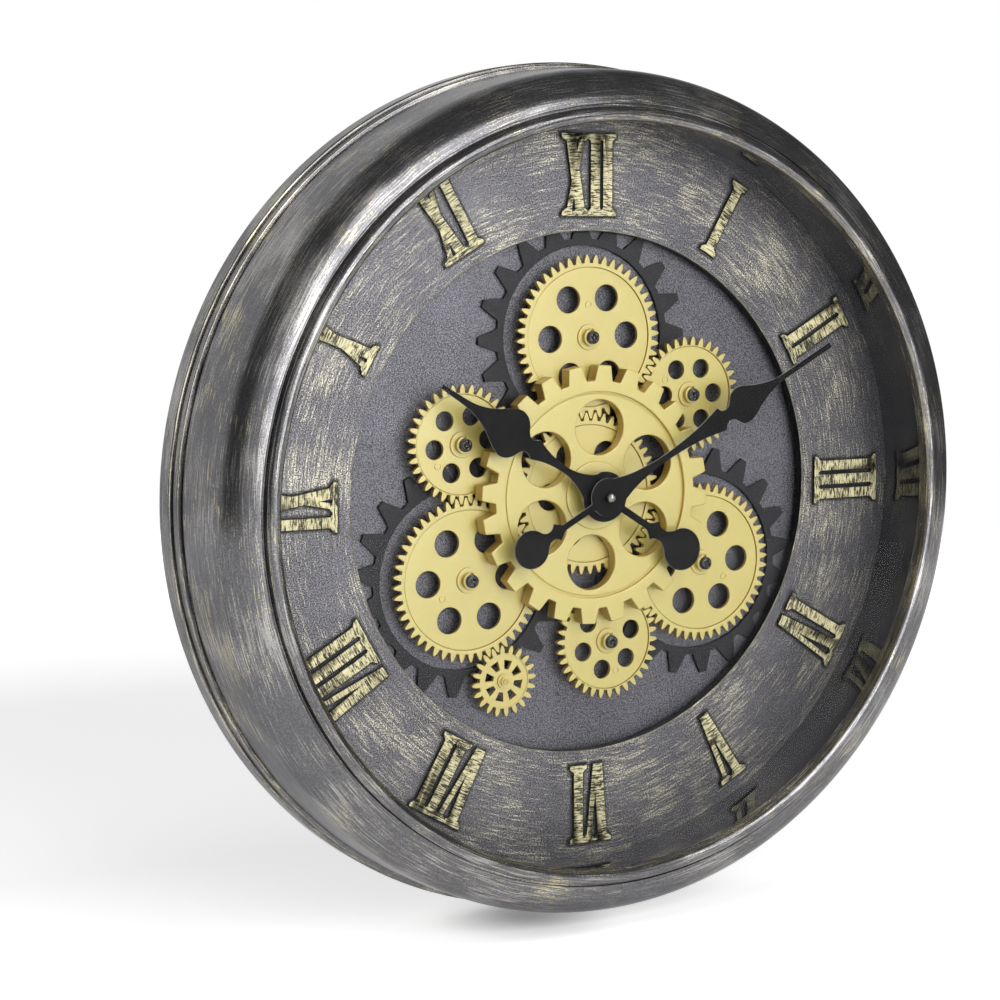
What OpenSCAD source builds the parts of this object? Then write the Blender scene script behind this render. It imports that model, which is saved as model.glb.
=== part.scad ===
// Wall clock with a moving gear train: a round moulded case, a glass front,
// a dial ring with raised numerals, gilt gears that turn in mesh and two spade hands.
// The back lies on the wall plane, the dial faces minus Y and twelve is up.
// Heights along the dial axis are counted from the wall towards the viewer.

/* [Case] */
// Diameter over the rear rim, mm
case_diameter = 460; // [452:1:470]
// Depth from the wall to the front bead, mm
case_depth = 80; // [76:0.5:84]
// Thickness of the moulded outer skin, mm
skin = 3.5; // [2.5:0.1:4]
// Radius of the rounded front edge, mm
nose_radius = 22; // [20:0.5:24]
// Radius of the small front bead, mm
bead_radius = 4; // [3.4:0.1:4.2]
// Thickness of the front glass, mm
glass_thickness = 3; // [2:0.1:4]
// Thickness of the back cover, mm
cover_thickness = 3; // [2.4:0.1:3.6]

/* [Dial] */
// Diameter of the opening in the dial ring, mm
dial_opening = 280.6; // [276:0.2:290]
// Thickness of the dial ring, mm
dial_thickness = 5.4; // [3:0.1:5.5]
// Height of the dial face above the base plate, mm
dial_step = 8; // [8:0.1:10]
// Height of a numeral as a share of the dial ring's visible width
numeral_share = 0.732; // [0.6:0.002:0.76]
// Width of a bold stroke of the numerals, mm
numeral_stroke = 5.6; // [4.6:0.1:6]
// Relief of the numerals, mm
numeral_relief = 1.5; // [0.8:0.1:2]
// Thickness of the base plate, mm
base_thickness = 3; // [2:0.1:4]
// Height of the base plate's front above the wall as a share of the depth
base_share = 0.35; // [0.34:0.005:0.36]

/* [Gears] */
// Module of the meshing gears, mm
gear_module = 1.75; // [1.7:0.01:1.8]
// Teeth of the rear centre gear and the three large gears
large_teeth = 48; // [46:1:49]
// Teeth of the three medium gears
medium_teeth = 34; // [31:1:35]
// Teeth of the drive gear
drive_teeth = 20; // [19:1:22]
// Share of the tooth pitch that a tooth fills
tooth_share = 0.42; // [0.4:0.01:0.44]
// Thickness of a gear's rim, mm
gear_thickness = 3; // [2.4:0.1:3.4]
// Height of the gears' front above the base plate, mm
gear_height = 8.6; // [8.4:0.1:9.4]
// Outer radius of the front centre gear, mm
front_gear_radius = 69.6; // [66:0.2:71]
// Thickness of the front centre gear's rim, mm
front_gear_thickness = 8.2; // [6:0.1:9]
// Thickness of the dark backing rings, mm
backing_thickness = 2.2; // [1.5:0.1:2.6]

/* [Hands] */
// Length of the minute hand from its axis, mm
minute_length = 163; // [150:1:166]
// Length of the hour hand from its axis, mm
hour_length = 115; // [105:1:120]
// Thickness of the stamped hands, mm
hand_thickness = 0.8; // [0.5:0.1:1]
// Angle of the minute hand from three o'clock, degrees
minute_angle = 28.5; // [0:0.5:360]
// Angle of the hour hand from three o'clock, degrees
hour_angle = 147.5; // [0:0.5:360]

/* [Fits] */
// Radial clearance of a turning shaft in its bore, mm
running_fit = 0.05; // [0.03:0.01:0.08]
// Clearance around a part that is set into another, mm
set_gap = 0.3; // [0.2:0.05:0.4]
// End play of a turning gear, mm
end_play = 0.2; // [0.15:0.05:0.3]

/* [Hanger] */
// Radius of the keyhole's round entry, mm
keyhole_radius = 5; // [4.5:0.1:5.5]
// Width of the keyhole's slot, mm
keyhole_slot = 4.4; // [4:0.1:4.8]
// Thickness of the hanger plate, mm
hanger_thickness = 1.5; // [1:0.1:2]

/* [Hidden] */
$fn = 96;

// Radii of the case, from the rear rim inwards
rim_r = case_diameter/2;
band_r = rim_r - 1.6;
groove_r = rim_r - 3.4;
second_groove_r = rim_r - 5.4;
body_r = rim_r - 3.6;
nose_r = rim_r - 5.8 - nose_radius;
bead_r = rim_r - 30.1;
bead_land = 0.3;
lip_r = bead_r - bead_radius + bead_land;
bore_r = rim_r - 27.6;
inner_wall = 4;
boss_r = 4;
base_boss_r = bore_r + boss_r + 0.2;
base_r = base_boss_r + 4.4;
pocket_r = base_r + set_gap;
pocket_wall_r = pocket_r + 3;
cavity_r = rim_r - 4 - skin;
cover_boss_r = (pocket_wall_r + cavity_r)/2;
cover_boss = (cavity_r - pocket_wall_r)/2 + 0.5;
cover_r = cover_boss_r + 5.6;
shoulder = 3.5;
cover_screw_turn = 15;
base_screw_turn = 30;

// Heights of the case, from the wall
flange_top = 13;
band_top = 21;
groove = 2.5;
nose_z = case_depth - 5 - nose_radius;
bead_z = case_depth - bead_radius;
glass_front = case_depth - 8.5;
glass_back = glass_front - glass_thickness;
quirk = 2;
quirk_floor = case_depth - 7;

// Where the side of the body runs smoothly into the rounded front edge
side_dr = body_r - nose_r;
side_dz = band_top + groove - nose_z;
side_far = sqrt(side_dr*side_dr + side_dz*side_dz);
tangent_angle = atan2(side_dz, side_dr) + acos(nose_radius/side_far);

// Heights of the dial, the gears and the hands, from the wall
base_front = base_share*case_depth;
base_back = base_front - base_thickness;
dial_front = base_front + dial_step;
dial_back = dial_front - dial_thickness;
gear_front = base_front + gear_height;
gear_back = gear_front - gear_thickness;
web_recess = 0.7;
hub_back = base_front + 1.5;
sleeve_top = gear_front + 3.3;
post_top = sleeve_top + end_play;
washer_thickness = 0.5;
front_gear_back = gear_front + 0.9;
front_gear_front = front_gear_back + front_gear_thickness;
front_web = front_gear_front - 1.5;
front_hole_ring = 36.3;
front_hole_r = 14.9;
front_boss = front_web + 1.2;
bush_top = front_gear_front + 2.1;
nut_top = bush_top + washer_thickness + 2.5;
hand_room = glass_back - nut_top;
hour_z = nut_top + 0.131*hand_room;
minute_z = nut_top + 0.332*hand_room;
stem_end = nut_top + 0.4*(hour_z - nut_top);
hour_collar = nut_top + 0.65*(hour_z - nut_top);

// Dial radii
opening_r = dial_opening/2;
ring_outer = bore_r - set_gap;
ring_inner = ring_outer - 2.8;
numeral_r = (opening_r + ring_inner)/2;
numeral_height = numeral_share*(ring_inner - opening_r);

// Gear train: radii, places and phases
pressure = 20;
addendum = gear_module;
dedendum = 1.5*gear_module;
tooth_width = PI*gear_module*tooth_share;
large_r = gear_module*large_teeth/2;
medium_r = gear_module*medium_teeth/2;
drive_r = gear_module*drive_teeth/2;
large_at = [for (a = [90, -30, 210]) 2*large_r*[cos(a), sin(a)]];
medium_turn = 117;
medium_dir = [for (a = [90, -30, 210]) a - medium_turn];
medium_at = [for (i = [0:2]) large_at[i] + (large_r + medium_r)*[cos(medium_dir[i]), sin(medium_dir[i])]];
drive_dir = -69;
drive_at = large_at[2] + (large_r + drive_r)*[cos(drive_dir), sin(drive_dir)];
centre_phase = 90/large_teeth;
large_phase = [for (a = [90, -30, 210]) mesh(large_teeth, centre_phase, a, large_teeth)];
medium_phase = [for (i = [0:2]) mesh(large_teeth, large_phase[i], medium_dir[i], medium_teeth)];
drive_phase = mesh(large_teeth, large_phase[2], drive_dir, drive_teeth);
large_holes = [centre_phase, centre_phase, centre_phase];
medium_holes = [1.1, 18.7, 8.1];
front_turn = 86.2;
backing_phase = [1, 5.6, 12.6];

// Shafts and hubs
post_r = 3;
hub_r = 6.2;
sleeve_r = 4.6;
post_flange_r = 8;
stem_r = 4;
bush_r = 6;
hour_tube_r = 2.7;
minute_shaft_r = 1.6;
drive_shaft_r = 1.5;
gear_screw_r = 1.4;

// Movement and drive unit, both set against the back of the base plate
movement_size = 56;
movement_depth = 16;
unit_back = base_back - movement_depth;
cell_r = 7;
cell_length = 49;
cell_y = -17.2;
contact = 0.5;
knob_y = 13;
knob_r = 6.5;
drive_size = [68, 46];
drive_centre = drive_at + [0, -12];
drive_cell_y = drive_centre[1] - 12.5;
drive_ear = 7;

// Hanger
hanger_y = rim_r - 54;
hanger_size = [46, 30];

// Angle of an involute at a pressure angle, in degrees
function inv(a) = tan(a)*180/PI - a;

// Half the angle that a tooth fills at a radius, in degrees
function half_tooth(teeth, r) =
    tooth_width/(gear_module*teeth)*180/PI + inv(pressure)
    - inv(acos(min(1, gear_module*teeth/2*cos(pressure)/r)));

// Angle of a tooth on the second gear so that it meshes with the first in a direction
function mesh(teeth_a, phase_a, dir, teeth_b) =
    dir + 180 - (360/teeth_b)*(0.5 - teeth_a*(dir - phase_a)/360);

// Point at a radius and an angle
function polar(r, a) = [r*cos(a), r*sin(a)];

// Steps from root to tip where the tooth flank has its corners
flank = [0, 0.3, 0.55, 0.8, 1];

// Radius at a share of the tooth height
function flank_r(teeth, t) = gear_module*teeth/2 - dedendum + (addendum + dedendum)*t;

// Smooth line through points, with a few steps between neighbours
function between(p, i, t) =
    let (a = p[max(i - 1, 0)], b = p[i], c = p[i + 1], d = p[min(i + 2, len(p) - 1)])
    0.5*(2*b + (c - a)*t + (2*a - 5*b + 4*c - d)*t*t + (3*b - a - 3*c + d)*t*t*t);
function smooth(p) = concat(
    [for (i = [0:len(p) - 2], k = [0:2]) between(p, i, k/3)],
    [p[len(p) - 1]]);

// Half outlines of the hands: distance from the axis along the hand, half width
minute_blade = concat(
    smooth([[7.5, 7.2], [12, 5.6], [16, 4.4], [22, 3.2], [28.7, 2.4], [38.7, 1.75], [53.7, 2.3], [66, 3.7],
        [73, 5.1], [80.6, 6.8]]),
    smooth([[81.3, 5.4], [82.4, 4.2], [84.6, 3.4], [86.6, 3.7], [88.5, 5.2], [91, 8.6], [93.5, 10],
        [96.2, 10.4], [99, 9.9], [102, 8.6], [106, 6.5], [110, 4.9], [114, 3.5], [118, 2.4], [121, 1.9],
        [126, 1.6], [161, 1.55]]));
minute_tail = concat(
    smooth([[9, 1.8], [29.4, 1.75], [31, 2], [33, 3.4], [35.3, 5.2]]),
    smooth([[36, 3.9], [37.4, 2.9], [39.4, 2.5], [41.2, 2.8], [43.6, 4.6]]));
minute_disc = [52.6, 10.2, 10.3];
hour_blade = concat(
    smooth([[9, 8.8], [12, 6.6], [16, 4.6], [20, 3.2], [24, 2.3], [28.7, 1.8], [33, 1.9], [38.7, 2.5],
        [45, 4], [50, 5.8]]),
    smooth([[50.8, 5], [52, 4.3], [54, 3.8], [56, 4.1], [58, 6.2], [60, 9.6], [63, 12.3], [66.9, 13.4],
        [70, 12.8], [73, 11.4], [77, 9], [81, 6.6], [85, 4.7], [89, 3.3], [93, 2.3], [97, 1.8], [105, 1.45],
        [115, 1.2]]));
hour_tail = concat(
    smooth([[11, 1.95], [30.6, 1.9], [33, 2.4], [35, 3.9], [37, 5.6]]),
    smooth([[37.8, 4.5], [40, 3.4], [42.5, 3.2], [44.6, 3.6], [48.4, 6]]));
hour_disc = [58, 11.5, 13.5];

// Turns the dial frame, built face up, to face minus Y
module facing() {
    rotate([90, 0, 0])
        children();
}

// A cylinder between two heights
module rod(r, low, high) {
    translate([0, 0, low])
        cylinder(r = r, h = high - low);
}

// A flat shape between two heights
module slab(low, high) {
    translate([0, 0, low])
        linear_extrude(height = high - low)
            children();
}

// Copies around the dial axis
module around(count, r, start) {
    for (i = [0:count - 1])
        rotate([0, 0, start + i*360/count])
            translate([r, 0, 0])
                children();
}

// Cross recess of a screw, cut down from a height
module cross_recess(top, reach) {
    for (a = [0, 90])
        rotate([0, 0, a])
            translate([-reach, -0.45, top - 0.9])
                cube([2*reach, 0.9, 2]);
}

// Pan head screw whose head sits on a height and whose shank runs down from it
module pan_screw(seat, shank_r, length, head_r) {
    difference() {
        union() {
            rod(shank_r, seat - length, seat + 0.1);
            rod(head_r, seat, seat + 1.1);
            translate([0, 0, seat + 1.1])
                cylinder(r1 = head_r, r2 = head_r - 1, h = 0.8);
        }
        cross_recess(seat + 1.9, head_r*0.62);
    }
}

// Outer shape of the case in section
module case_section() {
    square([rim_r, flange_top]);
    square([groove_r, flange_top + groove + 1]);
    square([second_groove_r, band_top + groove + 1]);
    translate([0, flange_top + groove])
        square([band_r, band_top - flange_top - groove]);
    polygon([[0, band_top + groove], [body_r, band_top + groove],
        [nose_r + nose_radius*cos(tangent_angle), nose_z + nose_radius*sin(tangent_angle)],
        [0, nose_z + nose_radius*sin(tangent_angle)]]);
    intersection() {
        translate([nose_r, nose_z])
            circle(r = nose_radius);
        translate([0, nose_z + nose_radius*sin(tangent_angle)])
            square(rim_r);
    }
    square([bead_r + bead_radius, bead_z]);
    translate([bead_r, bead_z])
        circle(r = bead_radius);
}

// Room between the outer skin and the inner wall, open at the back
module case_cavity() {
    polygon([[pocket_wall_r, 0], [cavity_r, 0], [cavity_r, base_front],
        [nose_r + nose_radius - skin, nose_z], [bore_r + inner_wall, nose_z],
        [bore_r + inner_wall, base_front + shoulder], [pocket_wall_r, base_front + shoulder]]);
    intersection() {
        translate([nose_r, nose_z])
            circle(r = nose_radius - skin);
        translate([bore_r + inner_wall, nose_z])
            square([nose_radius, nose_radius]);
    }
}

module front_frame() {
    color([0.16, 0.16, 0.17])
        facing()
            difference() {
                union() {
                    rotate_extrude()
                        difference() {
                            case_section();
                            square([lip_r, case_depth + 1]);
                            square([bore_r, glass_front]);
                            square([pocket_r, base_front]);
                            square([cover_r + set_gap, cover_thickness]);
                            translate([bead_r + bead_radius - bead_land, quirk_floor])
                                square([quirk, 10]);
                            case_cavity();
                        }
                    around(6, cover_boss_r, cover_screw_turn)
                        rod(cover_boss, cover_thickness, 20);
                    around(6, base_boss_r, base_screw_turn)
                        rod(boss_r, base_front, base_front + 14);
                }
                around(6, cover_boss_r, cover_screw_turn)
                    rod(1.5, cover_thickness - 1, 15);
                around(6, base_boss_r, base_screw_turn)
                    rod(1.5, base_front - 1, base_front + 10);
            }
}

module front_glass() {
    color([0.85, 0.9, 0.92, 0.25])
        facing()
            rod(ring_outer, glass_back, glass_front);
}

module inner_ring() {
    color([0.06, 0.06, 0.07])
        facing()
            difference() {
                rod(ring_outer, dial_front, glass_back);
                rod(ring_inner, dial_front - 1, glass_back + 1);
            }
}

module dial_ring() {
    color([0.2, 0.2, 0.21])
        facing()
            difference() {
                union() {
                    rod(ring_outer, dial_back, dial_front);
                    rod(ring_outer, base_front, dial_front);
                }
                rod(opening_r, base_front - 1, dial_front + 1);
                rod(ring_outer - 4, base_front - 1, dial_back);
            }
}

// Shapes of the numerals, upright and centred on their height
unit = numeral_stroke/5.6;
bold = numeral_stroke;
fine = 3*unit;
half = numeral_height/2;
overhang = 2.4*unit;
serif_edge = 1.9*unit;
bracket = 2*unit;

// A stroke from its place at the foot to its place at the head
module stroke(foot, head, width) {
    polygon([[foot - width/2, -half], [foot + width/2, -half], [head + width/2, half], [head - width/2, half]]);
}

// A bracketed serif at the head, or at the foot where side is minus one
module serif(x, width, side) {
    polygon([[x - width/2 - overhang, side*half], [x + width/2 + overhang, side*half],
        [x + width/2 + overhang, side*(half - serif_edge)],
        [x + width/2, side*(half - serif_edge - bracket)],
        [x - width/2, side*(half - serif_edge - bracket)],
        [x - width/2 - overhang, side*(half - serif_edge)]]);
}

module letter_i(x) {
    stroke(x*unit, x*unit, bold);
    serif(x*unit, bold, 1);
    serif(x*unit, bold, -1);
}

module letter_v(x) {
    stroke((x - 1.2)*unit, (x - 4.5)*unit, bold*0.96);
    stroke((x + 0.4)*unit, (x + 4.6)*unit, fine);
    serif((x - 4.5)*unit, bold, 1);
    serif((x + 4.6)*unit, fine, 1);
}

module letter_x(x) {
    stroke((x + 3.4)*unit, (x - 3.3)*unit, bold);
    stroke((x - 4.4)*unit, (x + 4.4)*unit, fine);
    serif((x - 3.3)*unit, bold, 1);
    serif((x + 4.4)*unit, fine, 1);
    serif((x + 3.4)*unit, bold, -1);
    serif((x - 4.4)*unit, fine, -1);
}

// The numeral of one hour
module numeral(hour) {
    if (hour == 1)
        letter_i(0);
    if (hour == 2) {
        letter_i(-4);
        letter_i(4);
    }
    if (hour == 3) {
        letter_i(-8);
        letter_i(0);
        letter_i(8);
    }
    if (hour == 4) {
        letter_i(-7.2);
        letter_v(5.6);
    }
    if (hour == 5)
        letter_v(0.5);
    if (hour == 6) {
        letter_v(-5);
        letter_i(6);
    }
    if (hour == 7) {
        letter_v(-8.6);
        letter_i(1.8);
        letter_i(9.8);
    }
    if (hour == 8) {
        letter_v(-12.5);
        letter_i(-2);
        letter_i(6);
        letter_i(14);
    }
    if (hour == 9) {
        letter_i(-6.8);
        letter_x(5.2);
    }
    if (hour == 10)
        letter_x(0);
    if (hour == 11) {
        letter_x(-5.2);
        letter_i(7);
    }
    if (hour == 12) {
        letter_x(-9.2);
        letter_i(3);
        letter_i(10.6);
    }
}

module numerals() {
    color([0.78, 0.7, 0.42])
        facing()
            slab(dial_front, dial_front + numeral_relief)
                for (hour = [1:12])
                    rotate(-30*hour)
                        translate([0, numeral_r])
                            numeral(hour);
}

module base_plate() {
    color([0.22, 0.22, 0.23])
        facing()
            difference() {
                rod(base_r, base_back, base_front);
                rod(stem_r + running_fit, 0, base_front + 1);
                for (p = concat(large_at, medium_at))
                    translate(p)
                        rod(post_r, 0, base_front + 1);
                translate(drive_at)
                    rod(drive_shaft_r + 1, 0, base_front + 1);
                translate(drive_centre)
                    for (s = [-1, 1])
                        translate([s*(drive_size[0]/2 + drive_ear/2), 0])
                            rod(1.25, 0, base_front + 1);
                around(6, base_boss_r, base_screw_turn)
                    rod(1.7, 0, base_front + 1);
            }
}

module base_screws() {
    color([0.3, 0.3, 0.32])
        facing()
            around(6, base_boss_r, base_screw_turn)
                translate([0, 0, base_back])
                    mirror([0, 0, 1])
                        pan_screw(0, 1.45, base_thickness + 8, 2.8);
}

// Flat toothed ring with straight-sided teeth
module block_teeth(count, root, tip, root_width, tip_width) {
    polygon([for (i = [0:count - 1], c = [[root, -root_width], [tip, -tip_width], [tip, tip_width],
        [root, root_width]]) polar(c[0], i*360/count + asin(c[1]/2/c[0]))]);
}

module backing_ring(i) {
    color([0.1, 0.1, 0.12])
        facing()
            translate(large_at[i])
                rotate([0, 0, backing_phase[i]])
                    difference() {
                        slab(base_front, base_front + backing_thickness)
                            block_teeth(20, large_r + 10.5, large_r + 21.5, 12, 4);
                        rod(large_r + 6.7, base_front - 1, base_front + backing_thickness + 1);
                    }
}

module top_backing_ring() {
    backing_ring(0);
}

module right_backing_ring() {
    backing_ring(1);
}

module left_backing_ring() {
    backing_ring(2);
}

module gear_posts() {
    color([0.72, 0.72, 0.7])
        facing()
            for (p = concat(large_at, medium_at))
                translate(p)
                    difference() {
                        union() {
                            rod(post_r, base_back, post_top);
                            rod(post_flange_r, base_front, hub_back);
                        }
                        rod(gear_screw_r, base_front, post_top + 1);
                    }
}

module gear_washers() {
    color([0.12, 0.12, 0.12])
        facing()
            for (p = concat(large_at, medium_at))
                translate(p)
                    difference() {
                        rod(post_r + 0.6, post_top, post_top + washer_thickness);
                        rod(gear_screw_r + running_fit, post_top - 1, post_top + washer_thickness + 1);
                    }
}

module gear_screws() {
    color([0.14, 0.14, 0.15])
        facing()
            for (p = concat(large_at, medium_at))
                translate(p)
                    rotate([0, 0, 20])
                        pan_screw(post_top + washer_thickness, gear_screw_r, 9, 3.4);
}

module centre_bush() {
    color([0.74, 0.62, 0.32])
        facing()
            difference() {
                union() {
                    rod(bush_r, base_front, bush_top);
                    rod(10, base_front, hub_back);
                }
                rod(stem_r + running_fit, base_front - 1, bush_top + 1);
            }
}

module stem_washer() {
    color([0.74, 0.62, 0.32])
        facing()
            difference() {
                rod(9, bush_top, bush_top + washer_thickness);
                rod(stem_r + running_fit, bush_top - 1, bush_top + washer_thickness + 1);
            }
}

module stem_nut() {
    color([0.74, 0.62, 0.32])
        facing()
            difference() {
                slab(bush_top + washer_thickness, nut_top)
                    circle(r = 6.9, $fn = 6);
                rod(stem_r, bush_top, nut_top + 1);
            }
}

// Cell bay cut into a unit from the back, with the contacts at its ends
module cell_bay(y) {
    translate([-cell_length/2 - contact, y - cell_r - set_gap, unit_back - 1])
        cube([cell_length + 2*contact, 2*(cell_r + set_gap), 1 + 2*cell_r + 0.6]);
}

// A dry cell lying along X on the floor of its bay
module cell(y) {
    translate([0, y, unit_back + cell_r + 0.6])
        rotate([0, 90, 0]) {
            translate([0, 0, -cell_length/2])
                cylinder(r = cell_r, h = cell_length - 1);
            translate([0, 0, cell_length/2 - 1.5])
                cylinder(r = 2.6, h = 1.5);
        }
}

// The two spring contacts of a bay
module contacts(y) {
    for (s = [-1, 1])
        translate([s*(cell_length/2 + contact/2), y, unit_back + cell_r + 0.6])
            cube([contact, 9, 12], center = true);
}

module movement_case() {
    color([0.09, 0.09, 0.09])
        facing()
            difference() {
                union() {
                    slab(unit_back, base_back)
                        square(movement_size, center = true);
                    rod(stem_r, base_back - 1, stem_end);
                }
                rod(hour_tube_r + running_fit, base_back - 4, nut_top + 2);
                rod(minute_shaft_r + running_fit, base_back - 7, base_back);
                cell_bay(cell_y);
                translate([0, knob_y, 0])
                    rod(1.5 + running_fit, unit_back - 1, unit_back + 8);
            }
}

module movement_battery() {
    color([0.35, 0.35, 0.38])
        facing()
            cell(cell_y);
}

module movement_contacts() {
    color([0.75, 0.75, 0.73])
        facing()
            contacts(cell_y);
}

module drive_case() {
    color([0.09, 0.09, 0.09])
        facing()
            difference() {
                union() {
                    translate(drive_centre)
                        slab(unit_back, base_back)
                            square(drive_size, center = true);
                    translate(drive_centre)
                        slab(base_back - 3, base_back)
                            square([drive_size[0] + 2*drive_ear, 10], center = true);
                }
                translate([drive_centre[0], 0, 0])
                    cell_bay(drive_cell_y);
                translate(drive_at)
                    rod(drive_shaft_r + running_fit, base_back - 10, base_back + 1);
                translate(drive_centre)
                    for (s = [-1, 1])
                        translate([s*(drive_size[0]/2 + drive_ear/2), 0])
                            rod(1.5, 0, base_back + 1);
            }
}

module drive_battery() {
    color([0.35, 0.35, 0.38])
        facing()
            translate([drive_centre[0], 0, 0])
                cell(drive_cell_y);
}

module drive_contacts() {
    color([0.75, 0.75, 0.73])
        facing()
            translate([drive_centre[0], 0, 0])
                contacts(drive_cell_y);
}

module drive_screws() {
    color([0.3, 0.3, 0.32])
        facing()
            translate(drive_centre)
                for (s = [-1, 1])
                    translate([s*(drive_size[0]/2 + drive_ear/2), 0, base_back - 3])
                        mirror([0, 0, 1])
                            pan_screw(0, 1.25, 3 + base_thickness, 2.6);
}

// Windows of the back cover: over each cell, over the knob and behind the hanger
module cover_windows() {
    translate([-cell_length/2 - 3, cell_y - cell_r - 1.5])
        square([cell_length + 6, 2*cell_r + 3]);
    translate([drive_centre[0] - cell_length/2 - 3, drive_cell_y - cell_r - 1.5])
        square([cell_length + 6, 2*cell_r + 3]);
    translate([0, knob_y])
        circle(r = knob_r + 3);
    translate([-11, hanger_y - 11])
        square([22, 22]);
}

module back_cover() {
    color([0.11, 0.11, 0.11])
        facing()
            difference() {
                rod(cover_r, 0, cover_thickness);
                slab(-1, cover_thickness + 1)
                    cover_windows();
                around(6, cover_boss_r, cover_screw_turn)
                    countersink(1.7);
                for (s = [-1, 1])
                    translate([s*(hanger_size[0]/2 - 6), hanger_y])
                        countersink(1.6);
            }
}

// Room for a flat head that is flush with the wall face
module countersink(r) {
    rod(r, -1, cover_thickness + 1);
    cylinder(r1 = r + 1.9, r2 = r, h = 1.9);
}

module cover_screws() {
    color([0.3, 0.3, 0.32])
        facing()
            around(6, cover_boss_r, cover_screw_turn)
                difference() {
                    union() {
                        rod(1.45, 0, 13);
                        cylinder(r1 = 3.6, r2 = 1.7, h = 1.9);
                    }
                    mirror([0, 0, 1])
                        cross_recess(0, 2);
                }
}

// Keyhole with its round entry below and its slot above
module keyhole() {
    translate([0, hanger_y - 3])
        circle(r = keyhole_radius);
    translate([0, hanger_y + 7])
        circle(r = keyhole_slot/2);
    translate([-keyhole_slot/2, hanger_y - 3])
        square([keyhole_slot, 10]);
}

module hanger_plate() {
    color([0.7, 0.7, 0.7])
        facing()
            difference() {
                slab(cover_thickness, cover_thickness + hanger_thickness)
                    difference() {
                        translate([-hanger_size[0]/2, hanger_y - hanger_size[1]/2])
                            square(hanger_size);
                        keyhole();
                    }
                for (s = [-1, 1])
                    translate([s*(hanger_size[0]/2 - 6), hanger_y])
                        rod(1.6, 0, 10);
            }
}

module hanger_rivets() {
    color([0.7, 0.7, 0.7])
        facing()
            for (s = [-1, 1])
                translate([s*(hanger_size[0]/2 - 6), hanger_y]) {
                    cylinder(r1 = 3.5, r2 = 1.6, h = 1.9);
                    rod(1.6, 0, cover_thickness + hanger_thickness + 0.5);
                    rod(3, cover_thickness + hanger_thickness, cover_thickness + hanger_thickness + 1);
                }
}

// Outline of a meshing gear
module teeth_outline(teeth, phase) {
    polygon([for (i = [0:teeth - 1], s = [-1, 1], k = [0:4])
        let (r = flank_r(teeth, flank[s < 0 ? k : 4 - k]))
        polar(r, phase + i*360/teeth + s*half_tooth(teeth, r))]);
}

// Spoked gear: a raised rim, a lower web with round holes and a hub
module spoked_gear(teeth, phase, rim, hole_r, hole_at, hole_turn, bore, top) {
    difference() {
        union() {
            difference() {
                slab(gear_back, gear_front)
                    teeth_outline(teeth, phase);
                rod(gear_module*(teeth/2 + 1) - rim, gear_front - web_recess, gear_front + 1);
                around(6, hole_at, hole_turn)
                    rod(hole_r, gear_back - 1, gear_front + 1);
            }
            children();
        }
        rod(bore, 0, top + 1);
    }
}

// Hub of a gear that turns on a post: a low collar and a sleeve with a notch
module post_hub() {
    rod(hub_r, hub_back + end_play/2, gear_front + 0.4);
    difference() {
        rod(sleeve_r, gear_back, sleeve_top);
        translate([-0.6, 0, gear_front + 1.6])
            cube([1.2, 10, 10]);
    }
}

module large_gear(i) {
    color([0.85, 0.72, 0.36])
        facing()
            translate(large_at[i])
                spoked_gear(large_teeth, large_phase[i], 6.4, 7.2, 23.5, large_holes[i],
                    post_r + running_fit, sleeve_top)
                    post_hub();
}

module medium_gear(i) {
    color([0.85, 0.72, 0.36])
        facing()
            translate(medium_at[i])
                spoked_gear(medium_teeth, medium_phase[i], 5, 5.2, 15.9, medium_holes[i],
                    post_r + running_fit, sleeve_top)
                    post_hub();
}

module top_gear() {
    large_gear(0);
}

module right_gear() {
    large_gear(1);
}

module left_gear() {
    large_gear(2);
}

module upper_right_gear() {
    medium_gear(0);
}

module lower_gear() {
    medium_gear(1);
}

module upper_left_gear() {
    medium_gear(2);
}

module centre_gear_rear() {
    color([0.85, 0.72, 0.36])
        facing()
            spoked_gear(large_teeth, centre_phase, 6.4, 7.2, 23.5, centre_phase, bush_r + running_fit, front_gear_back)
                rod(10, hub_back + end_play/2, front_gear_back);
}

module centre_gear_front() {
    color([0.86, 0.73, 0.37])
        facing()
            difference() {
                union() {
                    slab(front_gear_back, front_gear_front)
                        rotate(front_turn)
                            difference() {
                                block_teeth(24, front_gear_radius - 8.3, front_gear_radius, 11.2, 8);
                                circle(r = front_gear_radius - 14.2);
                            }
                    rod(front_gear_radius - 14, front_gear_back, front_web);
                    rod(18.4, front_gear_back, front_boss);
                    rod(9, front_gear_back, bush_top - end_play/2);
                }
                around(6, front_hole_ring, front_turn)
                    rod(front_hole_r, front_gear_back - 1, front_gear_front + 1);
                rod(bush_r + running_fit, front_gear_back - 1, bush_top + 1);
            }
}

// Windows between the spokes of the drive gear
module drive_windows() {
    for (i = [0:7])
        rotate(drive_phase + 36 + i*45)
            polygon([polar(6.4, -11), polar(11.4, -12.5), polar(11.4, 12.5), polar(6.4, 11)]);
}

module drive_gear() {
    color([0.85, 0.72, 0.36])
        facing()
            translate(drive_at)
                difference() {
                    union() {
                        difference() {
                            slab(gear_back, gear_front)
                                teeth_outline(drive_teeth, drive_phase);
                            rod(drive_r + addendum - 4.9, gear_front - web_recess, gear_front + 1);
                            slab(gear_back - 1, gear_front + 1)
                                drive_windows();
                        }
                        rod(4, hub_back, gear_front + 0.4);
                        rod(2.6, gear_back, gear_front + 1.6);
                    }
                    rod(drive_shaft_r, 0, gear_front + 3);
                }
}

module drive_shaft() {
    color([0.72, 0.72, 0.72])
        facing()
            translate(drive_at)
                rod(drive_shaft_r, base_back - 9, gear_front + 2.2);
}

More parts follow.
